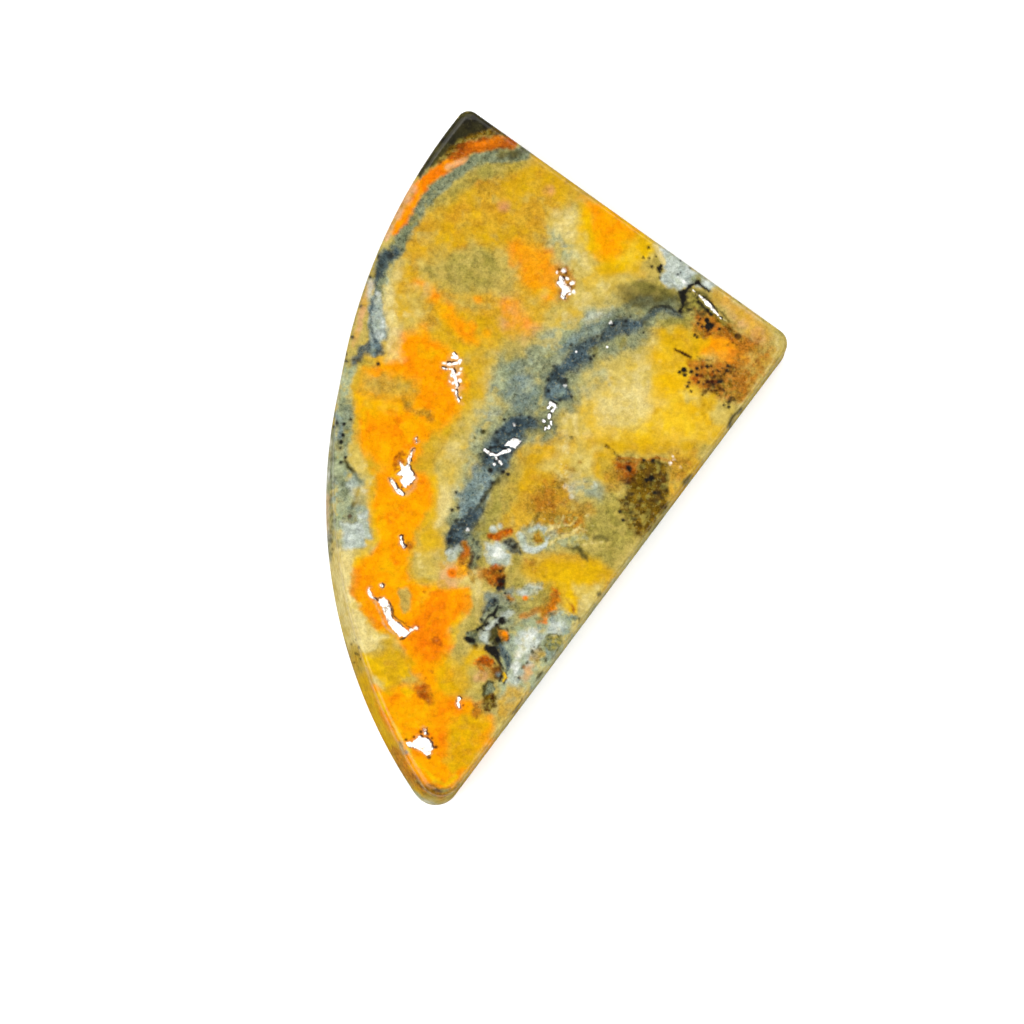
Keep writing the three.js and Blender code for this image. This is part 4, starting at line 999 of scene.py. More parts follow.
@dataclass(frozen=True)
class Outline:
    """The stone's outline at one level: one long arc and two straight sides, with rounded corners."""

    arc_centre: tuple[float, float]
    arc_radius: float
    upper_side: float
    lower_side: float
    point_radius: float
    corner_radius: float
    tip_radius: float
    upper_faces: float = 54.0
    lower_faces: float = -36.8

    def sizes(self) -> tuple[float, ...]:
        """The sizes that differ from one level to another."""
        return (*self.arc_centre, self.arc_radius, self.upper_side, self.lower_side, self.point_radius,
                self.corner_radius, self.tip_radius)

    def between(self, other: "Outline", share: float) -> "Outline":
        """The outline part of the way to another."""
        x, y, *rest = [one + (two - one) * share for one, two in zip(self.sizes(), other.sizes())]
        return Outline((x, y), *rest)

    def drawn_in(self, inset: float) -> "Outline":
        """The outline with every side moved in."""
        sides = [side - inset for side in self.sizes()[2:5]]
        return Outline(self.arc_centre, *sides, *[max(r - inset, LEAST_ROUND) for r in self.sizes()[5:]])

    def _round_at_arc(self, way: np.ndarray, side: float, radius: float, end: float) -> np.ndarray:
        """The centre of the round corner between the arc and a straight side.

        Args:
            way: The way that the side faces.
            side: The side's distance from the origin.
            radius: The corner's radius.
            end: 1 or -1, which end of the side.

        Returns:
            The centre.
        """
        centre = np.array(self.arc_centre)
        offset = side - radius - way @ centre
        span = math.sqrt((self.arc_radius - radius) ** 2 - offset**2)
        return centre + way * offset + np.array((-way[1], way[0])) * end * span

    def ring(self, steps: RingSteps) -> np.ndarray:
        """The closed ring of points around the outline, counter-clockwise.

        Args:
            steps: How finely it is divided.

        Returns:
            One row for each point.
        """
        upper, lower, centre = facing(self.upper_faces), facing(self.lower_faces), np.array(self.arc_centre)
        point = self._round_at_arc(upper, self.upper_side, self.point_radius, 1.0)
        tip = self._round_at_arc(lower, self.lower_side, self.tip_radius, -1.0)
        sides = np.array((self.upper_side, self.lower_side)) - self.corner_radius
        corner = np.linalg.solve(np.array((upper, lower)), sides)
        upper_angle, lower_angle = math.radians(self.upper_faces), math.radians(self.lower_faces)
        point_angle = math.atan2(*(point - centre)[::-1]) % math.tau
        tip_angle = math.atan2(*(tip - centre)[::-1]) % math.tau
        return np.concatenate([
            straight(tip + lower * self.tip_radius, corner + lower * self.corner_radius, steps.straight),
            arc(corner, self.corner_radius, lower_angle, upper_angle, steps.round),
            straight(
                corner + upper * self.corner_radius, point + upper * self.point_radius, steps.straight
            ),
            arc(point, self.point_radius, upper_angle, point_angle, steps.round),
            arc(centre, self.arc_radius, point_angle, tip_angle, steps.arc),
            arc(tip, self.tip_radius, tip_angle, lower_angle + math.tau, steps.round),
        ])

    def room(self, places: np.ndarray) -> np.ndarray:
        """The distance from each place to the nearest side, corners not rounded.

        Args:
            places: One row for each place, in millimetres.

        Returns:
            Millimetres, positive inside.
        """
        to_upper = self.upper_side - places[:, :2] @ facing(self.upper_faces)
        to_lower = self.lower_side - places[:, :2] @ facing(self.lower_faces)
        to_arc = self.arc_radius - np.hypot(*(places[:, :2] - self.arc_centre).T)
        return np.minimum(np.minimum(to_upper, to_lower), to_arc)


@dataclass(frozen=True)
class PhotoView:
    """Where the photograph's camera stands over the stone. Its aim and distance are in millimetres."""

    elevation: float = 82.5
    lens: float = 200.0
    sensor: float = 36.0
    frame_width: float = 66.56
    aim: tuple[float, float, float] = (-2.96, -3.41, 4.2)
    pixels: int = 1024

    def way(self) -> np.ndarray:
        """The unit vector from the stone to the camera."""
        rise = math.radians(self.elevation)
        return np.array((0.0, -math.cos(rise), math.sin(rise)))

    def distance(self) -> float:
        """The distance from the aim to the camera."""
        return self.frame_width / self.sensor * self.lens

    def pixel(self, places: np.ndarray) -> tuple[np.ndarray, np.ndarray]:
        """The pixel of the photograph at which each place lies.

        Args:
            places: One row for each place, in millimetres.

        Returns:
            Pixels across and down.
        """
        way, away = self.way(), places - np.array(self.aim)
        scale = self.pixels * self.lens / self.sensor / (self.distance() - away @ way)
        rise = away @ np.array((0.0, way[2], -way[1]))
        return self.pixels / 2 + away[:, 0] * scale, self.pixels / 2 - rise * scale


@dataclass(frozen=True)
class Pit:
    """A natural cavity in the face: its depth in millimetres and its shapes in the photograph's frame."""

    name: str
    depth: float
    shapes: tuple[Marking, ...]
    # The first tone is that of the pale ring painted round the mouth as a highlight; the second is that of
    # the dark rim, the cavity's dark edge with painted shade on its upper right side.
    highlight_ring: Tone = Tone.PEACH
    rim: Tone = Tone.MAROON

    def depth_inside(self, across: np.ndarray, down: np.ndarray) -> np.ndarray:
        """How far inside the cavity's mouth each place lies, in pixels, positive inside."""
        return np.max([shape.depth_inside(across, down) for shape in self.shapes], axis=0)


def hollow(*corners: float) -> Marking:
    """A cavity's shape that fills an outline, in pixels."""
    return patch(Tone.CHALK_AND_GLARE, 1.5, 1.0, *corners)


def groove(reach: float, *line: float) -> Marking:
    """A cavity's shape that follows a line, in pixels."""
    return stroke(Tone.CHALK_AND_GLARE, reach, 1.5, 1.0, *line)


def tapered(*line: float) -> Marking:
    """A cavity's shape that follows a line and changes its width, in pixels."""
    return taper(Tone.CHALK_AND_GLARE, 1.5, 1.0, *line)


PITS = (
    Pit("bent slot", 0.42, (
        hollow(379, 599, 384, 598, 388, 601, 390, 607, 391, 613, 392, 618, 397, 622, 402, 626, 406, 630,
            410, 632, 405, 636, 400, 637, 395, 632, 390, 626, 386, 619, 384, 612, 381, 606, 378, 602),
        tapered(369, 588, 0.7, 369, 592, 1.5, 372, 597, 0.7, 377, 601, 0.8),
        groove(1.3, 410, 630, 416, 628),
        groove(1, 381, 585, 382, 586),
    )),
    Pit("cavity near the tip", 0.42, (
        hollow(404, 745, 409, 742, 413, 742, 416, 739, 418, 736, 422, 737, 426, 738, 432, 743, 433, 748,
            430, 754, 427, 756, 423, 752, 417, 749, 411, 747, 405, 749),
        groove(1.6, 402, 748, 406, 746),
        groove(1.3, 424, 729, 425, 733),
    )),
    Pit("cavity at the middle of the curved side", 0.42, (
        hollow(400, 462, 404, 467, 409, 463, 412, 471, 416, 478, 411, 483, 405, 488, 400, 481, 403, 476,
            397, 474, 401, 470),
        groove(1.7, 391, 480, 396, 489, 402, 494),
        tapered(409, 463, 1.3, 409, 458, 1.3, 413, 450, 0.9),
        groove(0.7, 416, 438, 416.5, 442),
    )),
    Pit("oval cavity below the upper side", 0.38, (
        hollow(560, 275, 564, 279, 563, 285, 570, 287, 570, 291, 566, 294, 564, 299, 560, 297, 562, 290,
            557, 284),
    )),
    Pit("sugary patch", 0.16, (
        groove(1.4, 454, 354, 456, 356),
        groove(1.1, 448, 364, 457, 363),
        groove(0.9, 443, 368, 447, 369),
        groove(1.5, 452, 369, 455, 378),
        groove(1.1, 455, 381, 457, 386),
        groove(0.5, 456, 391, 456, 394, 459, 402),
    )),
    Pit("forked crevice in the dark vein", 0.30, (
        hollow(504, 446, 509, 441, 514, 438, 521, 441, 515, 448, 509, 446),
        groove(1.4, 510, 450, 503, 452, 497, 455, 491, 454, 485, 450),
        groove(1, 495, 456, 498, 460, 502, 464),
    ), Tone.SLATE, Tone.INK),
    Pit("crystals in the dark vein", 0.22, (
        groove(1.5, 549, 408, 551, 403, 555, 407, 552, 411),
        groove(1.4, 549, 415, 549, 417),
        groove(1.1, 543, 420, 544, 421),
        groove(1.1, 549, 426, 549, 428),
        groove(1, 545, 428, 545, 429),
        groove(1, 551, 422, 551, 424),
    ), Tone.SLATE, Tone.INK),
    Pit("seam beside the square corner", 0.26, (
        tapered(693, 290, 0.2, 698, 294, 0.4, 702, 298, 1.2, 707, 303, 1.9, 712, 308, 1.6, 716, 313, 0.8,
            722, 320, 0.2),
    ), Tone.OLIVE, Tone.INK),
    Pit("small pit on the orange band", 0.18, (
        groove(1.2, 401, 537, 401.5, 543, 404, 547),
    )),
    Pit("pinhole above the tip", 0.22, (
        tapered(459, 699, 1.5, 458, 703, 1.1, 459, 707, 1.3),
    )),
)


@dataclass
class PittedFace:
    """Where the cavities sink into the face, and how the colour turns at their rims, in pixels."""

    pits: tuple[Pit, ...] = PITS
    ragged: float = 0.7
    broad_rag: Wander = Wander(2.6, 61)
    fine_rag: Wander = Wander(1.4, 62)
    fine_rag_share: float = 0.6
    wall: tuple[float, float] = (-0.3, 2.0)
    floor_noise: Wander = Wander(3.0, 63)
    floor_swing: float = 0.18
    # The pale ring round each mouth is a painted highlight.
    halo_noise: Wander = Wander(5.0, 64)
    halo_width: float = 1.6
    halo_strength: float = 0.55
    # The dark rim is the cavity's dark edge, widened towards its upper right side as painted shade by the
    # shift below.
    rim_noise: Wander = Wander(3.4, 65)
    rim_breaks: tuple[float, float] = (-0.25, 0.35)
    rim_width: float = 1.2
    rim_soft: float = 0.4
    rim_end: float = -0.3
    shade_side_shift: tuple[float, float] = (-0.7, 0.6)
    rim_least: float = 0.15
    rim_dots: float = 0.8
    # The white lining is calcite with painted glare in it.
    lining_and_glare: tuple[float, float] = (-0.35, 0.75)
    crumb_noise: Wander = Wander(2.3, 66)
    crumb_breaks: tuple[float, float] = (0.35, 0.6)
    crumb_strength: float = 0.6

    def _mouth(self, pit: Pit, across: np.ndarray, down: np.ndarray) -> np.ndarray:
        """The depth inside a cavity's broken mouth, in pixels."""
        broken = self.broad_rag.at(across, down) + self.fine_rag_share * self.fine_rag.at(across, down)
        return pit.depth_inside(across, down) + self.ragged * broken

    def nearness(self, across: np.ndarray, down: np.ndarray) -> np.ndarray:
        """The depth inside the nearest cavity, in pixels, positive inside."""
        return np.max([pit.depth_inside(across, down) for pit in self.pits], axis=0)

    def sink(self, across: np.ndarray, down: np.ndarray) -> np.ndarray:
        """How far the face sinks at each place.

        Args:
            across: Pixels across.
            down: Pixels down.

        Returns:
            Millimetres.
        """
        floor = 1.0 - self.floor_swing + self.floor_swing * self.floor_noise.at(across, down)
        depths = [pit.depth * smooth_step(self._mouth(pit, across, down), *self.wall) for pit in self.pits]
        return floor * np.max(depths, axis=0)

    def paint(self, shares: dict[Tone, np.ndarray], across: np.ndarray, down: np.ndarray) -> None:
        """Adds to the shares of the tones each cavity's pale ring, which is painted highlight, its broken
        dark rim, which is partly painted shade, and its white lining, which is calcite with painted glare.

        Args:
            shares: The shares, changed in place.
            across: Pixels across.
            down: Pixels down.
        """
        patchy = 0.5 + 0.5 * self.halo_noise.at(across, down)
        dots = smooth_step(self.rim_noise.at(across, down), *self.rim_breaks)
        crumbs = smooth_step(self.crumb_noise.at(across, down), *self.crumb_breaks)
        for pit in self.pits:
            mouth = self._mouth(pit, across, down)
            shifted = self._mouth(pit, across + self.shade_side_shift[0], down + self.shade_side_shift[1])
            # Painted highlight: a pale ring just outside the mouth.
            highlight_ring = smooth_step(mouth, -self.rim_width - self.halo_width, -self.rim_width)
            cover_with(shares, pit.highlight_ring, self.halo_strength * highlight_ring * patchy)
            # Painted shade: the dark rim, pushed to the upper right side of the mouth.
            rim = smooth_step(shifted, -self.rim_width - self.rim_soft, self.rim_end)
            cover_with(shares, pit.rim, rim * (self.rim_least + self.rim_dots * dots))
            # White calcite lining, painted as bright as glare.
            lining_and_glare = smooth_step(mouth, *self.lining_and_glare)
            cover_with(shares, Tone.CHALK_AND_GLARE, lining_and_glare * (1.0 - self.crumb_strength * crumbs))


def cover_with(shares: dict[Tone, np.ndarray], tone: Tone, cover: np.ndarray) -> None:
    """Lays one tone over the others.

    Args:
        shares: The shares of the tones, changed in place.
        tone: The tone that is laid on.
        cover: How much of each place it covers, from 0 to 1.
    """
    for share in shares.values():
        share *= 1.0 - cover
    shares[tone] += cover


# The stone as a mesh

INSIDE_ONLY = 1
TOUCHING = 1e-7
OFF_THE_STONE = 1000.0


def put(name: str, data: bpy.types.ID) -> bpy.types.Object:
    """Makes an object of a mesh, a light or a camera, and puts it into the scene.

    Args:
        name: The object's name.
        data: The mesh, light or camera.

    Returns:
        The object.
    """
    made = bpy.data.objects.new(name, data)
    bpy.context.scene.collection.objects.link(made)
    return made


def fill(ring: np.ndarray, inner: np.ndarray) -> list[list[int]]:
    """Triangles between a ring and the points inside it.

    Args:
        ring: The closed ring.
        inner: Points inside it.

    Returns:
        The triangles' corners, counter-clockwise, numbered along the ring and on through the inner points.
    """
    edges = [(i, (i + 1) % len(ring)) for i in range(len(ring))]
    points = [Vector(point) for point in np.concatenate([ring, inner])]
    _, _, faces, origins, _, _ = delaunay_2d_cdt(points, edges, [], INSIDE_ONLY, TOUCHING)
    return [[origins[corner][0] for corner in face] for face in faces]


@dataclass
class Cabochon:
    """The polished stone: a slab with a low crown, rounded shoulders, leaning walls and a bevelled back.

    The margins around the cavities and the drift of the back's pattern are in pixels.
    """

    girdle: Outline = Outline((19.2, -2.2), 34.4, 15.60, 7.57, 0.85, 1.10, 1.60)
    rim: Outline = Outline((23.7, -0.80), 38.35, 15.52, 7.62, 0.80, 1.05, 1.40)
    face: Outline = Outline((21.6, -0.67), 36.05, 15.23, 7.32, 0.60, 0.75, 1.10)
    edge_height: float = 4.2
    crown_rise: float = 0.28
    crown_power: float = 2.6
    crown_centre: tuple[float, float] = (-2.5, 3.0)
    back_bevel: float = 0.22
    shoulder_drop: float = 0.36
    shy: float = 0.02
    wall_levels: int = 11
    shoulder_levels: int = 8
    face_spacing: float = 0.122
    pit_spacing: float = 0.052
    pit_margin: float = 3.0
    outer_margin: float = 6.6
    edge_gap: float = 0.6
    edge_room: tuple[float, float] = (0.05, 0.3)
    back_spacing: float = 0.36
    back_drift: float = 26.0
    drift_height: float = 0.5
    drift_noises: tuple[Wander, Wander] = (Wander(90.0, 71), Wander(90.0, 72))
    matte_depth: float = 0.1
    sunk_depths: tuple[float, float] = (0.02, 0.12)
    polish_drop: float = 1.0
    steps: RingSteps = field(default_factory=RingSteps)
    view: PhotoView = field(default_factory=PhotoView)
    pattern: StonePattern = field(default_factory=StonePattern)
    pitted: PittedFace = field(default_factory=PittedFace)

    def levels(self) -> list[np.ndarray]:
        """The rings around the stone, from the back to the face's edge.

        Returns:
            One ring for each level, with one row for each point.
        """
        wall_top = self.edge_height - self.shoulder_drop
        rings = [self._level(self.girdle.drawn_in(self.back_bevel * (1 - share)), self.back_bevel * share)
                 for share in (0.0, 0.5)]
        for share in np.linspace(0.0, 1.0, self.wall_levels, endpoint=False):
            height = self.back_bevel + (wall_top - self.back_bevel) * share
            rings.append(self._level(self.girdle.between(self.rim, share), height))
        for angle in np.linspace(0.0, math.pi / 2, self.shoulder_levels + 1):
            outline = self.rim.between(self.face, 1 - math.cos(angle))
            rings.append(self._level(outline, wall_top + self.shoulder_drop * math.sin(angle)))
        return rings

    def _level(self, outline: Outline, height: float) -> np.ndarray:
        """One ring at a height, drawn in a little so that the stone stays inside its solid."""
        ring = outline.drawn_in(self.shy).ring(self.steps)
        return np.column_stack([ring, np.full(len(ring), height)])

    def crown(self, places: np.ndarray) -> np.ndarray:
        """The height of the unpitted face.

        Args:
            places: One row for each place, in millimetres.

        Returns:
            Heights in millimetres.
        """
        upper, lower = facing(self.face.upper_faces), facing(self.face.lower_faces)
        centre = np.array(self.crown_centre)
        rays = places - centre
        to_upper = rays @ upper / (self.face.upper_side - upper @ centre)
        to_lower = rays @ lower / (self.face.lower_side - lower @ centre)
        back = centre - np.array(self.face.arc_centre)
        half, spare = rays @ back, self.face.arc_radius**2 - back @ back
        to_arc = (half + np.sqrt(half**2 + spare * np.sum(rays**2, axis=1))) / spare
        reach = np.clip(np.maximum(np.maximum(to_upper, to_lower), to_arc), 0.0, 1.0)
        return self.edge_height + self.crown_rise * (1 - reach**self.crown_power)

    def _lattice(self, outline: Outline, spacing: float) -> np.ndarray:
        """Points of a triangular lattice inside an outline.

        Args:
            outline: The outline to stay inside of.
            spacing: The distance between points, in millimetres.

        Returns:
            One row for each point.
        """
        ring = outline.ring(self.steps)
        low, high = ring.min(axis=0), ring.max(axis=0)
        rows = np.arange(low[1], high[1], spacing * math.sqrt(3) / 2)
        x, y = np.meshgrid(np.arange(low[0], high[0], spacing), rows)
        x = x + 0.5 * spacing * (np.arange(len(rows)) % 2)[:, None]
        points = np.stack([x.ravel(), y.ravel()], axis=1)
        return points[outline.room(points) > self.edge_gap * spacing + self.shy]

    def _face_points(self) -> np.ndarray:
        """Points over the face with their heights, closer together in and around the cavities.

        Returns:
            One row for each point.
        """
        half_way = 0.5 * (self.face_spacing + self.pit_spacing)
        bands = (
            (self.face_spacing, -math.inf, -self.outer_margin),
            (half_way, -self.outer_margin, -self.pit_margin),
            (self.pit_spacing, -self.pit_margin, math.inf),
        )
        kept = []
        for spacing, low, high in bands:
            points = self._lattice(self.face, spacing)
            places = np.column_stack([points, self.crown(points)])
            near = self.pitted.nearness(*self.view.pixel(places))
            kept.append(places[(near >= low) & (near < high)])
        return np.concatenate(kept)

    def build(self) -> bpy.types.Object:
        """Makes the stone's mesh with its tones and finish as attributes.

        Returns:
            The stone's object.
        """
        rings = self.levels()
        count, top = len(rings[0]), (len(rings) - 1) * len(rings[0])
        faces = []
        for low in range(0, top, count):
            for i in range(count):
                after = (i + 1) % count
                faces.append([low + i, low + after, low + count + after, low + count + i])
        inner = self._face_points()
        for triangle in fill(rings[-1][:, :2], inner[:, :2]):
            faces.append([top + corner for corner in triangle])
        back = self._lattice(self.girdle.drawn_in(self.back_bevel + self.shy), self.back_spacing)
        first_back = top + count + len(inner)
        shift = first_back - count
        for triangle in fill(rings[0][:, :2], back):
            faces.append([corner if corner < count else shift + corner for corner in triangle[::-1]])
        places = np.concatenate([*rings, inner, np.column_stack([back, np.zeros(len(back))])])
        across, down = self.view.pixel(places)
        sink = np.zeros(len(places))
        on_face = slice(top + count, first_back)
        room = smooth_step(self.face.room(inner), *self.edge_room)
        sink[on_face] = room * self.pitted.sink(across[on_face], down[on_face])
        stone = self._object("stone", places - np.outer(sink, (0.0, 0.0, 1.0)), faces)
        self._dress(stone.data, places[:, 2], across, down, sink)
        LOG.info("cavities: %s", ", ".join(pit.name for pit in self.pitted.pits))
        return stone

    def middle(self) -> np.ndarray:
        """The middle of the walls' box, which lies over the origin in the part's own frame."""
        rings = np.concatenate([self.girdle.ring(self.steps), self.rim.ring(self.steps)])
        return np.append(0.5 * (rings.min(axis=0) + rings.max(axis=0)), 0.0)

    def _object(self, name: str, places: np.ndarray, faces: list[list[int]]) -> bpy.types.Object:
        """Turns points in millimetres and faces into an object in the part's own frame.

        Args:
            name: The object's name.
            places: One row for each point.
            faces: The faces' corners.

        Returns:
            The object.
        """
        mesh = bpy.data.meshes.new(name)
        mesh.from_pydata(((places - self.middle()) * MM).tolist(), [], faces)
        mesh.update()
        mesh.shade_smooth()
        LOG.info("%s: %d points, %d faces", name, len(mesh.vertices), len(mesh.polygons))
        return put(name, mesh)

    def _dress(
        self, mesh: bpy.types.Mesh, height: np.ndarray, across: np.ndarray, down: np.ndarray,
        sink: np.ndarray,
    ) -> None:
        """Keeps the tones' shares, the grain and the polish of every point as attributes of the mesh.

        Args:
            mesh: The stone's mesh.
            height: Heights before the cavities are sunk, in millimetres.
            across: Pixels across.
            down: Pixels down.
            sink: How far each point is sunk into a cavity, in millimetres.
        """
        below = 1.0 - smooth_step(height, 0.0, self.drift_height)
        drift = [self.back_drift * below * noise.at(across, down) for noise in self.drift_noises]
        shares = self.pattern.shares(across + drift[0], down + drift[1])
        self.pitted.paint(shares, across, down - OFF_THE_STONE * (height < self.edge_height))
        matte = smooth_step(sink, 0.0, self.matte_depth)
        polish = smooth_step(height, 0.0, self.back_bevel) * (1.0 - matte)
        layers = {tone.attribute(): share for tone, share in shares.items()}
        layers["grain"] = np.sum([share * tone.value.grain for tone, share in shares.items()], axis=0)
        on_face = smooth_step(height, self.edge_height - self.polish_drop, self.edge_height)
        layers["polish"] = polish * (WALL_POLISH + (1.0 - WALL_POLISH) * on_face)
        layers["sunk"] = smooth_step(sink, *self.sunk_depths)
        for name, values in layers.items():
            attribute = mesh.attributes.new(name, "FLOAT", "POINT")
            attribute.data.foreach_set("value", values.astype(np.float32))


# Finishes

LEAST_SHARE = 0.01


def linear(colour: tuple[int, int, int], shown: float = 1.0) -> tuple[float, float, float, float]:
    """An sRGB colour as the linear colour that a shader socket takes.

    Args:
        colour: Red, green and blue from 0 to 255.
        shown: The share of it that is taken.

    Returns:
        Red, green, blue and alpha from 0 to 1.
    """
    rgb = Color([value / 255 for value in colour]).from_srgb_to_scene_linear()
    return shown * rgb.r, shown * rgb.g, shown * rgb.b, 1.0


@dataclass(frozen=True)
class Grit:
    """The settings of a noise texture, and how far its channels are spread around a middle value."""

    scale: float
    detail: float
    roughness: float
    gain: float = 1.0
    middle: float = 0.5


class NodeBench:
    """A node tree with short calls to add and link its nodes."""

    def __init__(self, tree: bpy.types.NodeTree) -> None:
        """Starts on an emptied tree."""
        self.tree = tree
        self.tree.nodes.clear()

    def add(self, kind: str, inputs: Sockets | None = None, **settings: object) -> bpy.types.Node:
        """Adds a node.

        Args:
            kind: The node's type name.
            inputs: A value, or the output that it is linked to, for each of its sockets.
            settings: Its properties.

        Returns:
            The node.
        """
        node = self.tree.nodes.new(kind)
        for key, value in settings.items():
            setattr(node, key, value)
        for key, value in (inputs or {}).items():
            if isinstance(value, Socket):
                self.tree.links.new(value, node.inputs[key])
            else:
                node.inputs[key].default_value = value
        return node

    def maths(self, operation: str, *values: object, clamp: bool = False) -> Socket:
        """The result of a Math node on values or sockets."""
        inputs = dict(enumerate(values))
        return self.add("ShaderNodeMath", inputs, operation=operation, use_clamp=clamp).outputs[0]

    def vector(self, operation: str, *values: object) -> Socket:
        """The result of a Vector Math node on values or sockets."""
        return self.add("ShaderNodeVectorMath", dict(enumerate(values)), operation=operation).outputs[0]

    def scaled(self, vector: object, factor: object) -> Socket:
        """A vector times a number."""
        return self.add("ShaderNodeVectorMath", {0: vector, "Scale": factor}, operation="SCALE").outputs[0]

    def mix(self, share: object, one: object, two: object) -> Socket:
        """A colour part of the way between two."""
        return self.add("ShaderNodeMix", {0: share, 6: one, 7: two}, data_type="RGBA").outputs[2]

    def attribute(self, name: str) -> Socket:
        """The number that each point of the mesh holds under a name."""
        return self.add("ShaderNodeAttribute", attribute_name=name).outputs["Fac"]

    def place(self) -> Socket:
        """Object coordinates in millimetres."""
        return self.scaled(self.add("ShaderNodeTexCoord").outputs["Object"], 1.0 / MM)

    def texture(self, place: object, grit: Grit) -> bpy.types.Node:
        """A noise texture over a place."""
        inputs = {"Vector": place, "Scale": grit.scale, "Detail": grit.detail, "Roughness": grit.roughness}
        return self.add("ShaderNodeTexNoise", inputs, noise_dimensions="3D")

    def noise(self, place: object, grit: Grit) -> Socket:
        """The single value of a noise texture over a place."""
        return self.texture(place, grit).outputs["Fac"]

    def channels(self, place: object, grit: Grit) -> list[Socket]:
        """The three colour channels of a noise texture as separate noises, spread around their middle.

        Args:
            place: Where the noise is looked up.
            grit: Its settings.

        Returns:
            Their sockets.
        """
        parts = self.add("ShaderNodeSeparateXYZ", {0: self.texture(place, grit).outputs["Color"]})
        shift = 0.5 - grit.middle * grit.gain
        return [self.maths("MULTIPLY_ADD", out, grit.gain, shift, clamp=True) for out in parts.outputs]

    def bump(self, height: object, strength: float, distance: float) -> Socket:
        """The normal bent by a height."""
        inputs = {"Strength": strength, "Distance": distance, "Height": height}
        return self.add("ShaderNodeBump", inputs).outputs[0]


def material(name: str, shader: str, inputs: Callable[[NodeBench], Sockets]) -> bpy.types.Material:
    """A material with one shader.

    Args:
        name: Its name.
        shader: The shader node's type name.
        inputs: Builds what the shader's sockets take.

    Returns:
        The material.
    """
    made = bpy.data.materials.new(name)
    made.use_nodes = True
    bench = NodeBench(made.node_tree)
    surface = bench.add(shader, inputs(bench))
    bench.add("ShaderNodeOutputMaterial", {"Surface": surface.outputs[0]})
    return made


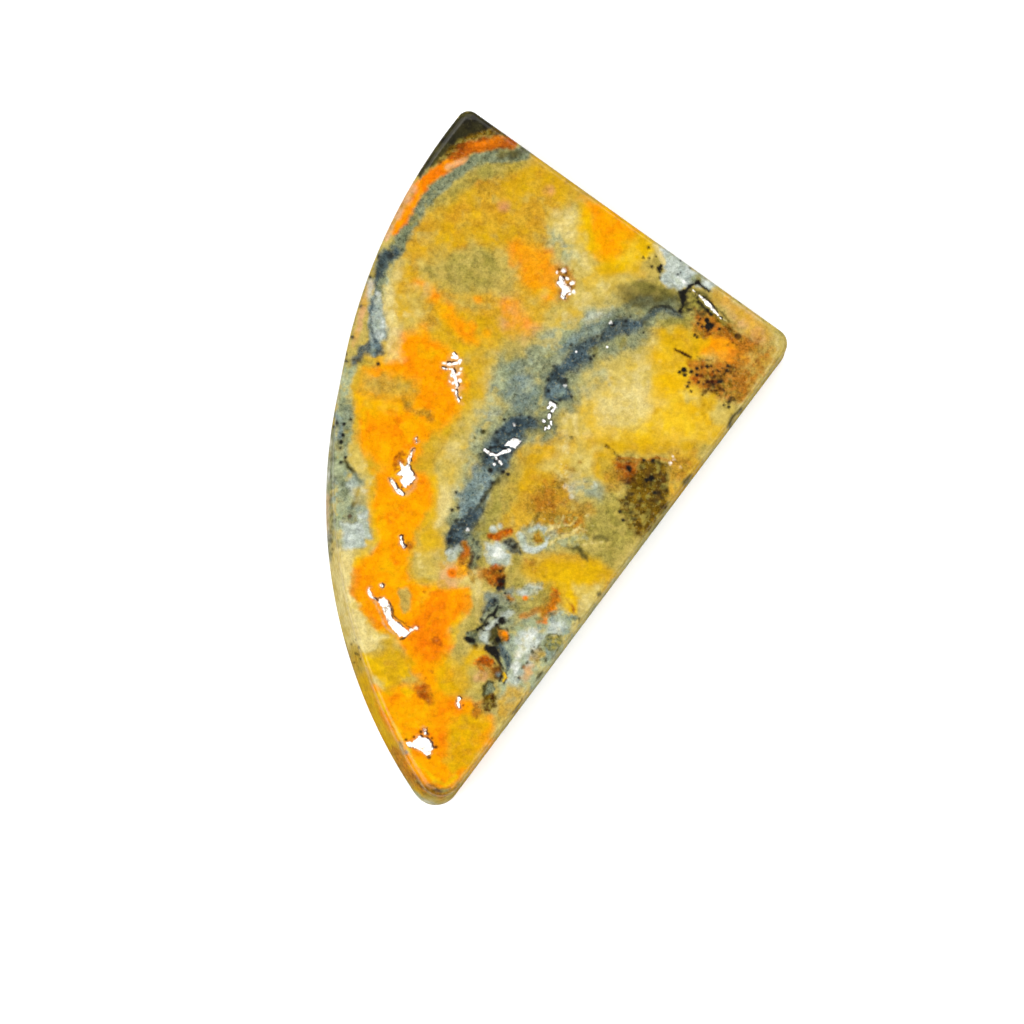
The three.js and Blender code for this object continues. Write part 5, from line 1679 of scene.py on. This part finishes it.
@dataclass(frozen=True)
class PolishedStone:
    """The stone's finish: tones that break into each other in soft clouds, with a fine grain and a polish.

    The tones are written as they look in the photograph, which is exposed so far that its floor is pure
    white. `exposed` is the share of them that is the stone's own colour; only the white tone stays as it
    is, so that the cavities' painted glare and the white glints come out as bright as reflections.
    """

    exposed: float = 0.55
    clouds: Grit = Grit(0.8, 2.0, 0.6, 3.0)
    breaks: Grit = Grit(1.9, 1.0, 0.5, 2.6)
    break_gain: float = 1.2
    break_least: float = 0.4
    hues: Grit = Grit(0.9, 2.0, 0.55, 3.0)
    grain: Grit = Grit(2.6, 2.0, 0.95)
    grain_strength: float = 2.6
    flecks: Grit = Grit(5.0, 1.0, 0.5, 9.0, 0.66)
    dark_flecks: float = 0.5
    pale_flecks: float = 0.14
    smears: Grit = Grit(0.9, 4.0, 0.6)
    smear_swing: float = 0.08
    face_roughness: float = 0.13
    matte_roughness: float = 0.62
    pricks: Grit = Grit(6.0, 4.0, 0.7)
    saw_marks: Grit = Grit(1.0, 2.0, 0.5)
    saw_stretch: tuple[float, float, float] = (0.25, 7.0, 1.0)
    saw_turn: float = math.radians(24)
    polished_relief: float = 0.03
    relief_strength: float = 0.55
    relief_depth: float = 0.07
    ior: float = 1.54
    specular: float = 0.0
    coat: float = 0.3
    coat_on_walls: float = 0.02
    coat_roughness: float = 0.08

    def inputs(self, bench: NodeBench) -> Sockets:
        """What the stone's shader takes.

        Args:
            bench: The material's nodes.

        Returns:
            A value or an output for each socket.
        """
        return {
            "Base Color": self._colour(bench),
            "Roughness": self._roughness(bench),
            "IOR": self.ior,
            "Specular IOR Level": self.specular,
            "Coat Weight": self._coat(bench),
            "Coat Roughness": self.coat_roughness,
            "Normal": self._relief(bench),
        }

    def _colour(self, bench: NodeBench) -> Socket:
        """The tones mixed by their shares, each share broken by a noise of its own.

        Args:
            bench: The material's nodes.

        Returns:
            The colour.
        """
        place = bench.place()
        breaks = bench.channels(place, self.clouds) + bench.channels(place, self.breaks)
        hues = bench.channels(place, self.hues)
        total: object = 0.0
        colour: object = (0.0, 0.0, 0.0)
        for index, tone in enumerate(Tone):
            noise = breaks[index % len(breaks)]
            broken = bench.maths("MULTIPLY_ADD", noise, self.break_gain, self.break_least)
            weight = bench.maths("MULTIPLY", bench.attribute(tone.attribute()), broken)
            # The white tone keeps its full brightness, as painted glare.
            shown = 1.0 if tone is Tone.CHALK_AND_GLARE else self.exposed
            main, second = linear(tone.value.main, shown), linear(tone.value.second, shown)
            hue = bench.mix(hues[index % len(hues)], main, second)
            total = bench.maths("ADD", total, weight)
            colour = bench.vector("ADD", colour, bench.scaled(hue, weight))
        even = bench.maths("DIVIDE", 1.0, bench.maths("MAXIMUM", total, LEAST_SHARE))
        return self._grained(bench, bench.scaled(colour, even))

    def _grained(self, bench: NodeBench, colour: Socket) -> Socket:
        """A colour with a fine grain and, where the stone is grainy, dark and pale flecks.

        Args:
            bench: The material's nodes.
            colour: The colour without its grain.

        Returns:
            The colour.
        """
        place, grain = bench.place(), bench.attribute("grain")
        swing = bench.maths("MULTIPLY", bench.maths("SUBTRACT", bench.noise(place, self.grain), 0.5), grain)
        grained = bench.scaled(colour, bench.maths("MULTIPLY_ADD", swing, self.grain_strength, 1.0))
        dark, light, _ = bench.channels(place, self.flecks)
        rough = bench.maths("MULTIPLY", grain, grain)
        darker = bench.maths("MULTIPLY_ADD", bench.maths("MULTIPLY", dark, rough), -self.dark_flecks, 1.0)
        paler = bench.maths("MULTIPLY", bench.maths("MULTIPLY", light, rough), self.pale_flecks, clamp=True)
        return bench.mix(paler, bench.scaled(grained, darker), linear(Tone.CREAM.value.main, self.exposed))

    def _unpolished(self, bench: NodeBench) -> Socket:
        """How matte each place is, from 0 to 1."""
        return bench.maths("SUBTRACT", 1.0, bench.attribute("polish"))

    def _coat(self, bench: NodeBench) -> Socket:
        """The gloss: full on the polished face, faint on the walls, none in cavities and on the back."""
        fall = (self.coat_on_walls - self.coat) / (1.0 - WALL_POLISH)
        return bench.maths("MULTIPLY_ADD", self._unpolished(bench), fall, self.coat, clamp=True)

    def _roughness(self, bench: NodeBench) -> Socket:
        """Smooth where the stone is polished, with faint smears, and matte in cavities and on the back.

        Args:
            bench: The material's nodes.

        Returns:
            The roughness.
        """
        least = self.face_roughness - self.smear_swing / 2
        smears = bench.noise(bench.place(), self.smears)
        smooth = bench.maths("MULTIPLY_ADD", smears, self.smear_swing, least)
        span = bench.maths("SUBTRACT", self.matte_roughness, smooth)
        return bench.maths("MULTIPLY_ADD", self._unpolished(bench), span, smooth)

    def _relief(self, bench: NodeBench) -> Socket:
        """Fine relief: faint pricks on the polished face, saw marks and grit where it is matte.

        Args:
            bench: The material's nodes.

        Returns:
            The bent normal.
        """
        place = bench.place()
        along = bench.add("ShaderNodeMapping", {
            "Vector": place, "Rotation": (0.0, 0.0, self.saw_turn), "Scale": self.saw_stretch}).outputs[0]
        height = bench.maths("ADD", bench.noise(place, self.pricks), bench.noise(along, self.saw_marks))
        least = self.polished_relief
        share = bench.maths("MULTIPLY_ADD", self._unpolished(bench), 1.0 - least, least)
        height = bench.maths("MULTIPLY", height, share)
        return bench.bump(height, self.relief_strength, self.relief_depth * MM)


@dataclass(frozen=True)
class DruseCalcite:
    """The finish of the small crystals in the cavities: white and sugary."""

    colour: tuple[int, int, int] = (255, 252, 246)
    stain: tuple[int, int, int] = (246, 226, 190)
    clouds: Grit = Grit(1.8, 3.0, 0.6, 2.4)
    stained: float = 0.35
    frost: Grit = Grit(5.0, 2.0, 0.5)
    frost_swing: float = 0.2
    facets: Grit = Grit(14.0, 2.0, 0.5)
    relief_strength: float = 0.3
    relief_depth: float = 0.03
    roughness: float = 0.22
    ior: float = 1.58

    def inputs(self, bench: NodeBench) -> Sockets:
        """What the crystals' shader takes.

        Args:
            bench: The material's nodes.

        Returns:
            A value or an output for each socket.
        """
        place = bench.place()
        cloud = bench.maths("MULTIPLY", bench.channels(place, self.clouds)[0], self.stained)
        frost, least = bench.noise(place, self.frost), self.roughness - self.frost_swing / 2
        facets = bench.noise(place, self.facets)
        return {
            "Base Color": bench.mix(cloud, linear(self.colour), linear(self.stain)),
            "Roughness": bench.maths("MULTIPLY_ADD", frost, self.frost_swing, least),
            "IOR": self.ior,
            "Normal": bench.bump(facets, self.relief_strength, self.relief_depth * MM),
        }


# Crystals in the cavities


@dataclass
class PitCrystals:
    """Small calcite points that stand on the floors of the cavities."""

    spacing: float = 0.10
    length: float = 0.09
    width: float = 0.055
    tilt: float = math.radians(38)
    sides: int = 5
    most_per_square_metre: float = 4e8
    seed: int = 7
    least_size: float = 0.55
    most_size: float = 1.25
    floor_share: float = 0.55

    def tree(self) -> bpy.types.GeometryNodeTree:
        """The node tree that stands crystals on a floor.

        Returns:
            The tree.
        """
        tree = bpy.data.node_groups.new("stand_crystals", "GeometryNodeTree")
        tree.interface.new_socket("Floor", in_out="INPUT", socket_type="NodeSocketGeometry")
        for name in ("Spacing", "Length", "Width"):
            tree.interface.new_socket(name, in_out="INPUT", socket_type="NodeSocketFloat")
        tree.interface.new_socket("Finish", in_out="INPUT", socket_type="NodeSocketMaterial")
        tree.interface.new_socket("Crystals", in_out="OUTPUT", socket_type="NodeSocketGeometry")
        bench = NodeBench(tree)
        given = bench.add("NodeGroupInput").outputs
        scatter = bench.add("GeometryNodeDistributePointsOnFaces", {
            "Mesh": given["Floor"], "Distance Min": given["Spacing"], "Seed": self.seed,
            "Density Max": self.most_per_square_metre}, distribute_method="POISSON")
        cone = bench.add("GeometryNodeMeshCone", {
            "Vertices": self.sides, "Radius Bottom": given["Width"], "Depth": given["Length"]})
        lean = bench.add("FunctionNodeRandomValue", {
            0: (-self.tilt, -self.tilt, 0.0), 1: (self.tilt, self.tilt, math.tau), "Seed": self.seed + 1,
        }, data_type="FLOAT_VECTOR")
        size = bench.add("FunctionNodeRandomValue", {
            2: self.least_size, 3: self.most_size, "Seed": self.seed + 2}, data_type="FLOAT")
        turn = bench.add("FunctionNodeEulerToRotation", {0: lean.outputs[0]})
        stand = bench.add("FunctionNodeRotateRotation", {
            0: scatter.outputs["Rotation"], 1: turn.outputs[0]}, rotation_space="LOCAL")
        set_out = bench.add("GeometryNodeInstanceOnPoints", {
            "Points": scatter.outputs["Points"], "Instance": cone.outputs["Mesh"],
            "Rotation": stand.outputs[0], "Scale": size.outputs[1]})
        whole = bench.add("GeometryNodeRealizeInstances", {"Geometry": set_out.outputs[0]})
        dressed = bench.add("GeometryNodeSetMaterial", {
            "Geometry": whole.outputs[0], "Material": given["Finish"]})
        bench.add("NodeGroupOutput", {0: dressed.outputs[0]})
        return tree

    def build(self, stone: bpy.types.Object, finish: bpy.types.Material) -> bpy.types.Object:
        """Stands crystals on the floors of the stone's cavities.

        Args:
            stone: The pitted stone.
            finish: The crystals' material.

        Returns:
            The crystals' object.
        """
        floor = self._floor(stone)
        modifier = floor.modifiers.new("crystals", "NODES")
        modifier.node_group = self.tree()
        values = {"Spacing": self.spacing * MM, "Length": self.length * MM, "Width": self.width * MM,
                  "Finish": finish}
        for item in modifier.node_group.interface.items_tree:
            if item.in_out == "INPUT" and item.name in values:
                modifier[item.identifier] = values[item.name]
        bpy.context.view_layer.update()
        graph = bpy.context.evaluated_depsgraph_get()
        mesh = bpy.data.meshes.new_from_object(floor.evaluated_get(graph))
        bpy.data.objects.remove(floor)
        return put("pit_crystals", mesh)

    def _floor(self, stone: bpy.types.Object) -> bpy.types.Object:
        """A copy of the stone's faces that lie on the floors of cavities.

        Args:
            stone: The pitted stone.

        Returns:
            The floors' object.
        """
        sunk = np.zeros(len(stone.data.vertices), np.float32)
        stone.data.attributes["sunk"].data.foreach_get("value", sunk)
        shape = bmesh.new()
        shape.from_mesh(stone.data)
        shallow = [vert for vert, share in zip(shape.verts, sunk) if share < self.floor_share]
        bmesh.ops.delete(shape, geom=shallow, context="VERTS")
        mesh = bpy.data.meshes.new("pit_floors")
        shape.to_mesh(mesh)
        shape.free()
        return put("pit_floors", mesh)


# Studio


@dataclass(frozen=True)
class Lamp:
    """A square studio light that looks at the stone. Azimuth 0 is the camera's side; lengths are metres."""

    azimuth: float
    elevation: float
    size: float
    watts: float
    distance: float = 0.5

    def place(self) -> None:
        """Puts the light into the scene."""
        data = bpy.data.lights.new("lamp", "AREA")
        data.size = self.size
        data.energy = self.watts
        light = put("lamp", data)
        turn, rise = math.radians(self.azimuth), math.radians(self.elevation)
        way = Vector((math.sin(turn) * math.cos(rise), -math.cos(turn) * math.cos(rise), math.sin(rise)))
        light.location = way * self.distance
        light.rotation_euler = way.to_track_quat("Z", "Y").to_euler()


@dataclass
class Studio:
    """Pale floor, soft lights all around and the camera at the photograph's viewing angle."""

    view: PhotoView = field(default_factory=PhotoView)
    floor_size: float = 1.2
    floor_drop: float = 0.00002
    floor_clouds: Grit = Grit(0.02, 2.0, 0.5)
    floor_greys: tuple[float, float] = (0.94, 0.92)
    nearest_seen: float = 0.01
    sky: float = 0.05
    key: Lamp = Lamp(azimuth=-70.0, elevation=46.0, size=0.3, watts=0.8)
    ring_lamps: int = 6
    ring_lamp: Lamp = Lamp(azimuth=0.0, elevation=52.0, size=0.34, watts=1.02)

    def set_up(self, middle: np.ndarray) -> None:
        """Builds the floor, the lights and the camera.

        Args:
            middle: The middle of the stone's walls, in millimetres of its drawing.
        """
        self._floor()
        world = bpy.data.worlds.new("white_room")
        world.use_nodes = True
        world.node_tree.nodes["Background"].inputs["Color"].default_value = (1.0, 1.0, 1.0, 1.0)
        world.node_tree.nodes["Background"].inputs["Strength"].default_value = self.sky
        bpy.context.scene.world = world
        self.key.place()
        for number in range(self.ring_lamps):
            replace(self.ring_lamp, azimuth=number * 360.0 / self.ring_lamps).place()
        self._camera(middle)
        bpy.context.scene.view_settings.view_transform = "Standard"

    def _floor(self) -> None:
        """Lays the pale floor under the stone."""
        half = self.floor_size / 2
        mesh = bpy.data.meshes.new("floor")
        corners = [(-half, -half), (half, -half), (half, half), (-half, half)]
        mesh.from_pydata([(x, y, -self.floor_drop) for x, y in corners], [], [(0, 1, 2, 3)])
        mesh.materials.append(material("floor_paint", "ShaderNodeBsdfDiffuse", self._paint))
        floor = put("floor", mesh)

    def _paint(self, bench: NodeBench) -> Sockets:
        """What the floor's shader takes: a pale grey with hardly any clouds in it."""
        pale, dull = [(grey, grey, grey, 1.0) for grey in self.floor_greys]
        return {"Color": bench.mix(bench.noise(bench.place(), self.floor_clouds), pale, dull)}

    def _camera(self, middle: np.ndarray) -> None:
        """Stands the camera nearly straight above the stone.

        Args:
            middle: The middle of the stone's walls, in millimetres of its drawing.
        """
        data = bpy.data.cameras.new("camera")
        data.lens = self.view.lens
        data.sensor_width = self.view.sensor
        data.clip_start = self.nearest_seen
        camera = put("camera", data)
        way = Vector(self.view.way())
        aim = Vector(np.array(self.view.aim) - middle)
        camera.location = (aim + way * self.view.distance()) * MM
        camera.rotation_euler = way.to_track_quat("Z", "Y").to_euler()
        bpy.context.scene.camera = camera


def main() -> None:
    """Builds the stone, its crystals and the studio in order."""
    logging.basicConfig(level=logging.INFO, format="%(name)s: %(message)s")
    cabochon = Cabochon()
    stone = cabochon.build()
    polished = material("polished_stone", "ShaderNodeBsdfPrincipled", PolishedStone().inputs)
    stone.data.materials.append(polished)
    druse = material("druse_calcite", "ShaderNodeBsdfPrincipled", DruseCalcite().inputs)
    for piece in (stone, PitCrystals().build(stone, druse)):
        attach(piece, "root")
        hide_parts("cabochon")
        LOG.info("finished %s with %d faces", piece.name, len(piece.data.polygons))
    Studio().set_up(cabochon.middle())
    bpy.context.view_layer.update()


if __name__ == "__main__":
    main()
